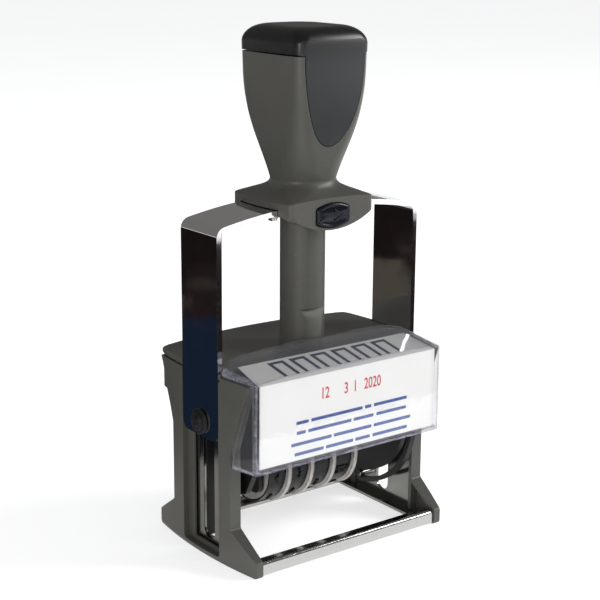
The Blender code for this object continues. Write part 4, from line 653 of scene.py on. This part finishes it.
def figures(mesh, text, narrow, place, raised=0.0):
    """Adds narrow figures one unit high, middle at 0. The place call sets each point down."""
    curve = bpy.data.curves.new("figures", "FONT")
    curve.body = text
    curve.offset = 0.016
    curve.extrude = raised
    curve.resolution_u = 5
    drawn = add("figures", curve)
    seen = drawn.evaluated_get(bpy.context.evaluated_depsgraph_get())
    data = bpy.data.meshes.new_from_object(seen)
    bpy.data.objects.remove(drawn)
    xs, ys = [v.co.x for v in data.vertices], [v.co.y for v in data.vertices]
    tall = max(ys) - min(ys)
    for vertex in data.vertices:
        x = (vertex.co.x - (min(xs) + max(xs)) / 2) / tall * narrow
        z = (vertex.co.y - min(ys)) / tall - 0.5
        vertex.co = place(x, z, vertex.co.z)
    mesh.from_mesh(data)
    bpy.data.meshes.remove(data)


date_height, date_z, figure_width = 4.6 * mm, 67.1 * mm, 0.68
date = bmesh.new()
for text, middle in (("12", -12.1 * mm), ("3", -2.2 * mm), ("1", 2.3 * mm), ("2020", 10.9 * mm)):
    figures(date, text, figure_width,
            lambda x, z, depth: front_place(middle + x * date_height, date_z + z * date_height))
printed("date_numerals", date, red_ink)

# Press, upper part: grip and collar are one gray moulding, bored for the tube. A black cap
# closes the top, and a dark inlay with a matt texture lies in its front.


def turned(profile, axis="Z", steps=64, centre=(0, 0)):
    """A turned solid: the profile is a list of radius and place along the axis."""
    rings = []
    for radius, t in profile:
        ring = arc((0, 0), radius, 0, 360, steps)[:-1]
        rings.append([along(axis, u + centre[0], v + centre[1], t) for u, v in ring])
    return skin(rings)


def cylinder(radius, low, high, axis="Z", steps=64, centre=(0, axis_y)):
    return turned([(radius, low), (radius, high)], axis, steps, centre)


def flowing(rows, steps):
    """A smooth run through rows of numbers (Catmull-Rom), with some steps between each two."""
    run = []
    for index in range(len(rows) - 1):
        before, after = rows[max(index - 1, 0)], rows[min(index + 2, len(rows) - 1)]
        here, there = rows[index], rows[index + 1]
        for step in range(steps):
            t = step / steps
            run.append(tuple(0.5 * (2 * b + (c - a) * t + (2 * a - 5 * b + 4 * c - d) * t ** 2
                                    + (3 * b - 3 * c + d - a) * t ** 3)
                             for a, b, c, d in zip(before, here, there, after)))
    return run + [tuple(rows[-1])]


strap_top = 136.2 * mm
strap_wall = 2.0 * mm
strap_half = 12.3 * mm
strap_arc = 232.4 * mm
strap_bend = 4.2 * mm
leg_outer = 48.6 * mm
leg_low = 48.4 * mm
collar_top = 138.9 * mm
collar_x = 19.8 * mm
collar_y = 19.0 * mm
collar_corner = 1.8 * mm
collar_bow = 2.2 * mm
collar_band = 2.4 * mm
collar_low = 126.6 * mm
collar_end = 6.1 * mm
neck_rise = 5.6 * mm
neck_z = collar_top + neck_rise
neck_radius = 12.74 * mm
neck_corner = 12.34 * mm
grip_x = 16.8 * mm
grip_y = 19.3 * mm
grip_corner = 3.6 * mm
grip_bow = 0.4 * mm
grip_front_bow = 0.9 * mm
parting_z = 192.8 * mm
grip_length = parting_z - neck_z
cap_top = 202.9 * mm
cap_round = 6.2 * mm
cap_proud = 0.2 * mm
tube_radius = 8.94 * mm
bore_top = 190.0 * mm
inlay_wall = 1.3 * mm


def strap_z(x, offset=0.0):
    return strap_top - strap_arc + math.sqrt((strap_arc - offset) ** 2 - x ** 2)


def section(half_x, half_y, corner, z, bow=0.0, front_bow=0.0):
    """A rounded rectangle at a height. Its ends, and its front and back, can bulge."""
    arc_steps, side_steps = 12, 10
    turns = []
    for index, (sx, sy) in enumerate(((1, 1), (-1, 1), (-1, -1), (1, -1))):
        centre = (sx * (half_x - corner), sy * (half_y - corner))
        turns.append(arc(centre, corner, 90 * index, 90 * index + 90, arc_steps))
    points = []
    for index, turn in enumerate(turns):
        here, there = Vector(turn[-1]), Vector(turns[(index + 1) % 4][0])
        points += turn
        points += [tuple(here.lerp(there, step / side_steps)) for step in range(1, side_steps)]
    return [Vector((x * (1 + bow / half_x * (1 - (y / half_y) ** 2)),
                    y * (1 + front_bow / half_y * (1 - (x / half_x) ** 2)) + axis_y, z))
            for x, y in points]


# height share, then shares of the grip's half width, half depth and corner
grip_shares = ((0.06, 0.05, 0.09, 0.9), (0.16, 0.18, 0.25, 0.72), (0.28, 0.36, 0.46, 0.5),
               (0.40, 0.57, 0.66, 0.34), (0.55, 0.80, 0.84, 0.2), (0.75, 0.965, 0.96, 0.06),
               (1.0, 1.0, 1.0, 0.0))
collar_shares = ((0.0, 0.0), (0.06, 0.05), (0.35, 0.19), (0.65, 0.36), (0.86, 0.55), (0.97, 0.78),
                 (1.0, 1.0))


def grip_ring(shares, inset=0.0):
    share, wide, deep, turn = shares
    half_x = neck_radius + (grip_x - neck_radius) * wide
    half_y = neck_radius + (grip_y - neck_radius) * deep
    corner = grip_corner + (neck_corner - grip_corner) * turn
    return section(half_x - inset, half_y - inset, corner - inset, neck_z + grip_length * share,
                   grip_bow * wide, grip_front_bow * wide)


def grip_rings(inset=0.0):
    return [grip_ring(shares, inset) for shares in flowing(grip_shares, 4)]


def collar_rings():
    """The collar's top: a low wall whose edge runs with the strap, then a sweep to the neck."""
    rings = [section(collar_x, collar_y, collar_corner, collar_top - collar_band, collar_bow)]
    for inward, rise in flowing(collar_shares, 3):
        corner = collar_corner + (neck_corner - collar_corner) * inward
        ring = section(collar_x + (neck_radius - collar_x) * inward,
                       collar_y + (neck_radius - collar_y) * inward, corner,
                       collar_top + neck_rise * rise, collar_bow * (1 - inward))
        for point in ring:
            point.z += (strap_z(point.x) - strap_top) * (1 - rise)
        rings.append(ring)
    return rings


def cap_rings(inset=0.0):
    """The cap from its parting line over its round top edge."""
    base = grip_ring((1.0, 1.0, 1.0, 0.0), inset - cap_proud)
    rings = [[Vector((p.x, p.y, p.z + play)) for p in base]]
    for turn in (0, 12, 25, 38, 50, 60, 70, 78, 85, 90):
        angle = math.radians(turn)
        pull = cap_round * (1 - math.cos(angle)) + inset * math.cos(angle) - cap_proud
        corner = grip_corner + (grip_x * 0.42 - grip_corner) * (turn / 90) - inset * math.cos(angle)
        rings.append(section(grip_x - pull, grip_y - pull, corner,
                             cap_top - cap_round + (cap_round - inset) * math.sin(angle),
                             grip_bow, grip_front_bow))
    return rings


def inlay_outline(gap):
    """Front view of the inlay: wide on the cap, then a tongue with a round tip."""
    top, tip = parting_z + 5.5 * mm + gap, 34.5 * mm + gap
    half, wide = 13.8 * mm + gap, 15.5 * mm + gap
    turns = [math.pi / 2 * step / 24 for step in range(24)]
    right = [(half * math.cos(turn), parting_z - tip * math.sin(turn)) for turn in turns]
    left = [(-x, z) for x, z in right]
    return (left + [(0, parting_z - tip)] + right[::-1]
            + [(wide, parting_z), (wide, top), (-wide, top), (-wide, parting_z)])


def melted(thing):
    mesh = bmesh.new()
    mesh.from_mesh(thing.data)
    bpy.data.objects.remove(thing)
    return mesh


def inlay_block(gap):
    """The inlay's outline, as deep as the inlay all over the front of the grip."""
    front, back = axis_y - grip_y - spare, axis_y - grip_y / 2
    piece = make("inlay_block", prism(inlay_outline(gap), front, back, "Y"), smooth=False)
    carve(piece, skin(grip_rings(inlay_wall + gap) + cap_rings(inlay_wall + gap)))
    return melted(piece)


def collar_skirt():
    """Front view of the collar below its upper edge, with an arched bottom."""
    rise = collar_top - collar_low - collar_end
    radius = (collar_x ** 2 + rise ** 2) / (2 * rise)
    sweep = math.degrees(math.asin(collar_x / radius))
    bottom = arc((0, collar_low + radius), radius, 270 - sweep, 270 + sweep, 40)
    wide, low = collar_x + collar_bow + spare, collar_top - collar_end
    top = collar_top - collar_band + 0.5 * mm
    return bottom + [(wide, low), (wide, top), (-wide, top), (-wide, low)]


def strap_path(offset):
    """Right half of the yoke's outline at an offset inward: foot, leg, bend, top arc."""
    centre = strap_top - strap_arc
    corner_x = leg_outer - strap_bend
    corner_z = centre + math.sqrt((strap_arc - strap_bend) ** 2 - corner_x ** 2)
    tilt = math.degrees(math.atan2(corner_z - centre, corner_x))
    points = [(leg_outer - offset, leg_low)]
    points += arc((corner_x, corner_z), strap_bend - offset, 0, tilt, 14)
    return points + arc((0, centre), strap_arc - offset, tilt, 90, 24)[1:]


def button_outline(gap, at_z):
    """Front view of the lock button: straight sides, barrelled top and bottom, round corners."""
    half, tall, barrel, corner = 7.9 * mm + gap, 4.7 * mm + gap, 1.3 * mm, 1.5 * mm
    right = [(half, 0)] + arc((half - corner, tall - barrel - corner), corner, 0, 72, 6)
    top = []
    for step in range(1, 12):
        share = (1 - step / 6)
        top.append(((half - 0.9 * corner) * share, tall - barrel * share ** 2))
    upper = right + top + [(-x, z) for x, z in reversed(right)]
    return [(x, z + at_z) for x, z in upper + [(-x, -z) for x, z in upper[1:-1]]]


button_z = 132.3 * mm
body = grip_rings()
rings = collar_rings() + body[:-1] + [[Vector((p.x, p.y, p.z - play)) for p in body[-1]]]
grip = make("grip_and_collar", skin(rings), gray_plastic)
skirt_front, skirt_back = axis_y - collar_y - spare, axis_y + collar_y + spare
skirt = make("skirt", prism(collar_skirt(), skirt_front, skirt_back, "Y"), gray_plastic)
plan = [section(collar_x, collar_y, collar_corner, z, collar_bow)
        for z in (collar_low - spare, collar_top + spare)]
carve(skirt, skin(plan), "INTERSECT")
carve(grip, melted(skirt), "UNION")
way = strap_path(-play)[1:]
way += [(-x, z) for x, z in reversed(way[:-1])]
way += [(-leg_outer, collar_low - spare), (leg_outer, collar_low - spare)]
carve(grip, prism(way, axis_y - strap_half - play, axis_y + strap_half + play, "Y"))
carve(grip, cylinder(tube_radius + play, collar_low - spare, bore_top))
recess_back = axis_y - collar_y + 4.6 * mm
carve(grip, prism(button_outline(play, button_z), skirt_front, recess_back, "Y"))
carve(grip, inlay_block(play))
soften(grip, 0.3 * mm, 38, 3)
settle(grip, "press", "taupe", "handle_grip")

cap_plastic = moulded("black_cap_plastic", (0.008, 0.008, 0.0085), 0.30, 0.28 * mm, 0.012 * mm,
                      dusty=0.15, shine=0.35)
cap = make("grip_cap", skin(cap_rings()), cap_plastic)
carve(cap, inlay_block(0.04 * mm))
soften(cap, 0.3 * mm, 38, 3)
settle(cap, "press", "black", "handle_cap")


def inlay_finish(name):
    """Dark textured plastic that goes to the cap's black at its upper edge."""
    paint = Paint(name)
    fine = paint.noise(0.3 * mm, 4.0)
    cloud = paint.noise(8 * mm, 3.0)
    low = paint.mix((0.013, 0.016, 0.018), (0.019, 0.022, 0.024), cloud)
    tone = paint.mix(low, (0.008, 0.008, 0.009), paint.along("Z").rise(189 * mm, 197 * mm))
    speck = fine.rise(0.68, 0.8)
    return paint.give({"Base Color": paint.mix(tone, (0.12, 0.13, 0.14), speck * 0.4),
                       "Roughness": 0.46 + (cloud - 0.5) * 0.1,
                       "Normal": paint.bump(fine, 0.05 * mm)})


inlay = make("grip_inlay", inlay_block(0), inlay_finish("dark_inlay"))
carve(inlay, skin(grip_rings() + cap_rings()), "INTERSECT")
soften(inlay, 0.08 * mm, 38)
settle(inlay, "press", "charcoal", "handle_insert")

# Lock button: black gloss plastic, slightly dished, with a raised arrow. Its tongue reaches back
# to the tube and drops into a notch.


def gloss_black(name):
    paint = Paint(name)
    smear = paint.noise(4 * mm, 4.0)
    dust = paint.noise(0.4 * mm, 0.0).rise(0.80, 0.84)
    tone = paint.mix((0.004, 0.005, 0.009), (0.007, 0.008, 0.013), smear)
    return paint.give({"Base Color": paint.mix(tone, (0.4, 0.4, 0.4), dust * 0.15),
                       "Specular IOR Level": 0.3,
                       "Roughness": 0.14 + smear.rise(0.4, 0.8) * 0.12 + dust * 0.3,
                       "Normal": paint.bump(paint.noise(3 * mm, 2.0), 0.05 * mm)})


black_gloss = gloss_black("black_gloss")
button_face = axis_y - collar_y - 0.8 * mm
rings = []
# share of the outline, then depth in mm, from the dished middle over the rim to the back
for scale, depth in ((0.30, 0.55), (0.62, 0.42), (0.80, 0.16), (0.87, 0.0), (0.94, 0.05),
                     (0.99, 0.35), (1.0, 0.8), (1.0, 3.8)):
    rings.append([Vector((x * scale, button_face + depth * mm, button_z + z * scale))
                  for x, z in button_outline(0, 0)])
button = make("lock_button_face", skin(rings), black_gloss)
tongue = block((-5.0 * mm, button_face + 3.3 * mm, button_z - 3.3 * mm),
               (5.0 * mm, axis_y - tube_radius - 1.5 * mm, button_z + 0.3 * mm))
carve(button, tongue, "UNION")
soften(button, 0, 30)
settle(button, "button", "black", "lock_button")

arrow = [(-4.6, 1.3), (0.6, 1.3), (0.6, 2.5), (4.8, 0.0), (0.6, -2.5), (0.6, -1.3), (-4.6, -1.3)]
arrow_middle, arrow_half, arrow_tall = 0.6, 4.6, 1.9
loops = []
for inset, depth in ((0.0, 0.5), (0.12, 0.18), (0.42, 0.18), (0.54, 0.5)):
    wide, tall = 1 - inset / arrow_half, 1 - inset / arrow_tall
    loops.append([Vector(((arrow_middle + (x - arrow_middle) * wide) * mm,
                          button_face + depth * mm, button_z + z * tall * mm)) for x, z in arrow])
emblem = make("button_arrow", skin(loops, closed=True), black_gloss)
soften(emblem, 0.06 * mm, 30)
settle(emblem, "button", "black")

# Yoke: a chromed steel strap, bent down at both ends, with a hole for the tube. Four screws
# from below hold it in the collar's recess.
outer, inner = strap_path(0), strap_path(strap_wall)
outline = outer + [(-x, z) for x, z in reversed(outer[:-1])]
outline += [(-x, z) for x, z in inner] + [(x, z) for x, z in reversed(inner[:-1])]
yoke = make("yoke_strap", prism(outline, axis_y - strap_half, axis_y + strap_half, "Y"), chrome)
leg_round = 3.6 * mm
low_left = arc((-strap_half + leg_round, leg_low + leg_round), leg_round, 180, 270, 12)
low_right = arc((strap_half - leg_round, leg_low + leg_round), leg_round, 270, 360, 12)
ends = low_left + low_right + [(strap_half, strap_top + spare), (-strap_half, strap_top + spare)]
carve(yoke, prism([(y + axis_y, z) for y, z in ends], -60 * mm, 60 * mm, "X"), "INTERSECT")
carve(yoke, cylinder(tube_radius + 0.7 * mm, collar_low, strap_top + spare))
soften(yoke, 0.5 * mm, 35, 3)
settle(yoke, "press", "chrome", "yoke")
for hand in ("left", "right"):
    for depth in ("front", "rear"):
        cross_head(f"yoke_screw_{hand}_{depth}", "press", 2, 0)

# Pivot pins: black stepped rivets with a ringed head. They hang the die on the yoke's legs.
pivot_z = 54.3 * mm
pin_face = leg_outer + play
# radius and place along the pin from the leg's outer face, in mm: the shank, then the head
shank = [(1.9, -13.1), (1.9, -10.6), (3.4, -10.6), (3.4, -2.6), (2.3, -2.6), (2.3, 0.0)]
head = [(5.0, 0.0), (5.0, 0.75), (4.75, 1.05), (4.35, 1.1), (4.2, 0.85), (3.95, 0.85),
        (3.85, 1.15), (3.6, 1.2), (3.6, 1.75), (3.35, 2.0), (3.0, 2.05), (2.85, 1.8),
        (2.55, 1.8), (2.4, 2.05), (1.95, 2.1), (1.9, 2.5), (1.6, 2.7), (0.9, 2.7),
        (0.75, 2.45), (0.02, 2.45)]
for side, hand in ((-1, "left"), (1, "right")):
    profile = [(radius * mm, side * (pin_face + x * mm)) for radius, x in shank + head]
    pin = make(f"ringed_pin_{hand}", turned(profile, "X", 72, (axis_y, pivot_z)), black_plastic)
    soften(pin, 0.08 * mm, 40)
    settle(pin, "press", "black", f"pivot_pin_{hand}")

# Return spring: a coil of drawn steel wire inside the tube. It stands in the tube's foot
# and pushes the grip up again after a print.
dress("return_spring", screw_steel, 0)

# Carriage: black end plates, one with the curved slot that turns it, and the platen between
# them. Screws through the end plates hold the platen, and brackets under it hold the axle.
for node in ("cam_plate", "end_plate", "platen", "date_anvil", "bracket_left", "bracket_right"):
    dress(node, black_plastic, 0.2 * mm)
for depth in ("front", "rear"):
    cross_head(f"cheek_screw_left_{depth}", "carriage", 0, 0)
    cross_head(f"cheek_screw_right_{depth}", "carriage", 0, 1)
dress("wheel_axle", screw_steel, 0.15 * mm)

# Text die: black rubber, laser cut with its lines in relief. It is stuck to the platen, and
# meets the pad at rest and the paper when the carriage has turned over.
rubber = moulded("black_rubber", (0.014, 0.014, 0.015), 0.42, 0.4 * mm, 0.01 * mm)
dress("text_die", rubber, 0.12 * mm)

# Date bands and thumbwheels: each off-white wheel has a knurled rim and a drum. A black rubber
# band with raised figures runs round the drum and over the anvil in the platen's window.
wheel_z = pivot_z - 22.2 * mm
wheel_radius = 16.8 * mm
wheel_rim = 1.8 * mm
drum_radius = 14.6 * mm
drum_width = 8.6 * mm
bore_radius = 2.2 * mm
off_white = moulded("off_white_plastic", (0.50, 0.475, 0.45), 0.4, 0.3 * mm, 0.006 * mm)
band_gloss = moulded("band_rubber", (0.007, 0.007, 0.0075), 0.38, 0.5 * mm, 0.004 * mm,
                     dusty=0.05, shine=0.25)
teeth = 120
rim_places = (-17.8 * mm, -6.8 * mm, 4.2 * mm, 15.2 * mm)
hub = (axis_y, wheel_z)
for number, rim_x in enumerate(rim_places, 1):
    low, high = rim_x - wheel_rim / 2, rim_x + wheel_rim / 2
    knurl = []
    for tooth in range(teeth):
        for part, notch in ((0, 0.0), (0.35, 0.0), (0.55, 0.4), (0.8, 0.4)):
            turn, radius = 2 * math.pi * (tooth + part) / teeth, wheel_radius - notch * mm
            knurl.append((radius * math.cos(turn) + axis_y, radius * math.sin(turn) + wheel_z))
    wheel = make(f"wheel_{number}_knurled", prism(knurl, low, high, "X"), off_white)
    drum_end = low - drum_width
    carve(wheel, cylinder(drum_radius, drum_end + play, low + 0.5 * mm, "X", 96, hub), "UNION")
    carve(wheel, cylinder(bore_radius, drum_end - spare, high + spare, "X", 32, hub))
    soften(wheel, 0.08 * mm, 30, 1)
    settle(wheel, f"wheel_{number}", "wheel", f"thumbwheel_{number}")

anvil_half, anvil_round, anvil_z = 2.2 * mm, 1.2 * mm, pivot_z + 10.8 * mm
band_gap, band_wall, figure_rise = 0.3 * mm, 0.5 * mm, 0.7 * mm
reach_z = anvil_z - wheel_z
lean = math.degrees(math.atan2(reach_z, anvil_half)
                    - math.acos((drum_radius - anvil_round) / math.hypot(reach_z, anvil_half)))


def band_path(offset):
    """Closed run round the drum and over the anvil: points with their outward angle in degrees."""
    run = []
    for middle, z, radius, start, end, steps in (
            (-anvil_half, anvil_z, anvil_round, 90, 180 - lean, 8),
            (0, wheel_z, drum_radius, 180 - lean, 360 + lean, 72),
            (anvil_half, anvil_z, anvil_round, lean, 90, 8)):
        points = arc((middle + axis_y, z), radius + offset, start, end, steps)
        for step, (y, height) in enumerate(points):
            run.append((y, height, start + (end - start) * step / steps))
    return run


band_run = band_path(band_gap + band_wall)
band_run.append(band_run[0][:2] + (90,))
lengths = [0.0]
for here, there in zip(band_run, band_run[1:]):
    lengths.append(lengths[-1] + math.hypot(there[0] - here[0], there[1] - here[1]))


def on_band(x, run, rise):
    """A place on a band: how far round from the middle of the anvil, and how far out."""
    run = (run - anvil_half) % lengths[-1]
    index = max(step for step in range(len(lengths) - 1) if lengths[step] <= run)
    span = lengths[index + 1] - lengths[index]
    share = (run - lengths[index]) / span if span else 0
    (y0, z0, turn0), (y1, z1, turn1) = band_run[index], band_run[index + 1]
    turn = math.radians(turn0 + ((turn1 - turn0 + 180) % 360 - 180) * share)
    return Vector((x, y0 + (y1 - y0) * share + rise * math.cos(turn),
                   z0 + (z1 - z0) * share + rise * math.sin(turn)))


figure_height, extrude, figure_sunk, year_width = 4.2 * mm, 0.1, 0.03 * mm, 0.5
rows = [["12"] + [str(month) for month in range(1, 12)], list("3012") * 3, list("1234567890"),
        [str(year) for year in range(2020, 2031)]]
for number, (rim_x, row) in enumerate(zip(rim_places, rows), 1):
    high = rim_x - wheel_rim / 2 - band_gap
    low = high - drum_width + 2 * band_gap
    outside, inside = band_path(band_gap + band_wall), band_path(band_gap)
    loops = [[Vector((x, y, z)) for y, z, turn in run]
             for x, run in ((low, outside), (high, outside), (high, inside), (low, inside))]
    band = make(f"thin_band_{number}", skin(loops, closed=True), band_gloss)
    soften(band, 0.1 * mm, 40)
    settle(band, "carriage", "rubber", f"date_band_{number}")
    relief, centre = bmesh.new(), (low + high) / 2
    for index, text in enumerate(row):
        start = lengths[-1] * index / len(row)
        figures(relief, text, figure_width if len(text) < 3 else year_width,
                lambda x, z, depth: on_band(
                    centre + x * figure_height, start + z * figure_height,
                    (depth + extrude) / (2 * extrude) * figure_rise - figure_sunk), extrude)
    settle(make(f"band_figures_{number}", relief, band_gloss, smooth=False), "carriage", "rubber")

# Studio: a pale floor, a soft light from the front right and a weak one from the left. Dark
# cards beside the stamp show only in its chrome and gloss, as they do in a product photograph.


def paper(name, colour, glow):
    paint = Paint(name)
    mottle = paint.noise(120 * mm, 2.0)
    tone = paint.mix(tint(colour, 0.985), tint(colour, 1.015), mottle)
    return paint.give({"Base Color": tone, "Roughness": 0.9, "Specular IOR Level": 0.0,
                       "Emission Color": tone, "Emission Strength": glow})


def sheet(name, corners, material, hidden=False):
    data = bpy.data.meshes.new(name)
    data.from_pydata(corners, [], [tuple(range(len(corners)))])
    data.materials.append(material)
    thing = add(name, data)
    if hidden:
        thing.visible_camera = False
        thing.visible_diffuse = False
        thing.visible_shadow = False


reach, under = 9.0, -0.05 * mm
sheet("floor", [(x * reach, y * reach, under) for x, y in ((-1, -1), (1, -1), (1, 1), (-1, 1))],
      paper("pale_floor", (0.82, 0.82, 0.82), 0.7))

card_z = 1 * mm
away = Vector((-0.595, 0.803, 0))
across = Vector((0.803, 0.595, 0))
foot = Vector((-leg_outer, axis_y, card_z))
card_colours = {"gray": (0.42, 0.41, 0.39), "navy": (0.0050, 0.0090, 0.0180),
                "umber": (0.009, 0.006, 0.006), "gray_brown": (0.017, 0.014, 0.012),
                "black": (0.006, 0.004, 0.004), "brown": (0.045, 0.038, 0.030)}
card_paints = {name: paper(name + "_card", colour, 1.0) for name, colour in card_colours.items()}
front_near, front_far, front_left, front_right = -0.155, -0.50, -0.1, 0.8
sheet("dark_card_front", [(front_left, front_far, card_z), (front_right, front_far, card_z),
                          (front_right, front_near, card_z), (front_left, front_near, card_z)],
      card_paints["umber"], hidden=True)
# two columns of cards: the column's ends, then where each card starts and stops, and its colour
card_columns = ((-1.2, 0.036, ((0.0, 0.095, "gray"), (0.095, 0.345, "navy"),
                               (0.345, 0.42, "umber"), (0.42, 0.45, "gray_brown"),
                               (0.45, 0.50, "umber"), (0.50, 2.5, "black"))),
                (0.036, 0.9, ((0.0, 0.095, "gray"), (0.095, 0.27, "umber"),
                              (0.27, 0.40, "brown"), (0.40, 2.5, "black"))))
for column, (v0, v1, cards) in enumerate(card_columns):
    for row, (u0, u1, paint_name) in enumerate(cards):
        corners = [foot + away * u + across * v
                   for u, v in ((u0, v0), (u1, v0), (u1, v1), (u0, v1))]
        sheet(f"dark_card_{column}_{row}", corners, card_paints[paint_name], hidden=True)

world = bpy.data.worlds.new("studio")
bpy.context.scene.world = world
world.use_nodes = True
tree = world.node_tree
tree.nodes.clear()
out = tree.nodes.new("ShaderNodeOutputWorld")
choice = tree.nodes.new("ShaderNodeMixShader")
ray = tree.nodes.new("ShaderNodeLightPath")
tree.links.new(ray.outputs["Is Glossy Ray"], choice.inputs[0])
seen_room, mirrored_room = ((0.97, 0.98, 1.0, 1.0), 0.42), ((1.0, 0.98, 0.94, 1.0), 0.18)
for index, (colour, strength) in enumerate((seen_room, mirrored_room), 1):
    room = tree.nodes.new("ShaderNodeBackground")
    room.inputs["Color"].default_value = colour
    room.inputs["Strength"].default_value = strength
    tree.links.new(room.outputs[0], choice.inputs[index])
tree.links.new(choice.outputs[0], out.inputs["Surface"])


lit_spot = Vector((0, 0, 90 * mm))


def softbox(name, place, width, height, power):
    lamp = bpy.data.lights.new(name, "AREA")
    lamp.shape = "RECTANGLE"
    lamp.size = width
    lamp.size_y = height
    lamp.energy = power
    thing = add(name, lamp)
    thing.location = place
    thing.rotation_mode = "QUATERNION"
    thing.rotation_quaternion = (lit_spot - Vector(place)).to_track_quat("-Z", "Y")


softbox("key", (1.35, -0.85, 0.85), width=0.7, height=0.7, power=22)
softbox("left", (-1.5, -0.9, 0.5), width=0.5, height=0.8, power=10)

azimuth, elevation, roll = math.radians(-36.936), math.radians(14.516), math.radians(0.388)
back = Vector((math.sin(azimuth) * math.cos(elevation), -math.cos(azimuth) * math.cos(elevation),
               math.sin(elevation)))
right = Vector((math.cos(azimuth), math.sin(azimuth), 0))
up = back.cross(right)
aim, shift_right, shift_up, distance = 80 * mm, -0.856 * mm, 14.451 * mm, 574.187 * mm
eye = Vector((0, axis_y, aim)) + right * shift_right + up * shift_up + back * distance
image_right = right * math.cos(roll) + up * math.sin(roll)
image_up = up * math.cos(roll) - right * math.sin(roll)
camera = add("camera", bpy.data.cameras.new("camera"))
camera.data.lens = 86.13
camera.data.sensor_width = 36.0
camera.data.clip_start = 0.01
camera.data.clip_end = 50
placed = [image_right, image_up, back, eye]
camera.matrix_world = Matrix([[placed[c][r] for c in range(4)] for r in range(3)] + [[0, 0, 0, 1]])
bpy.context.scene.camera = camera
bpy.context.scene.view_settings.view_transform = "Standard"
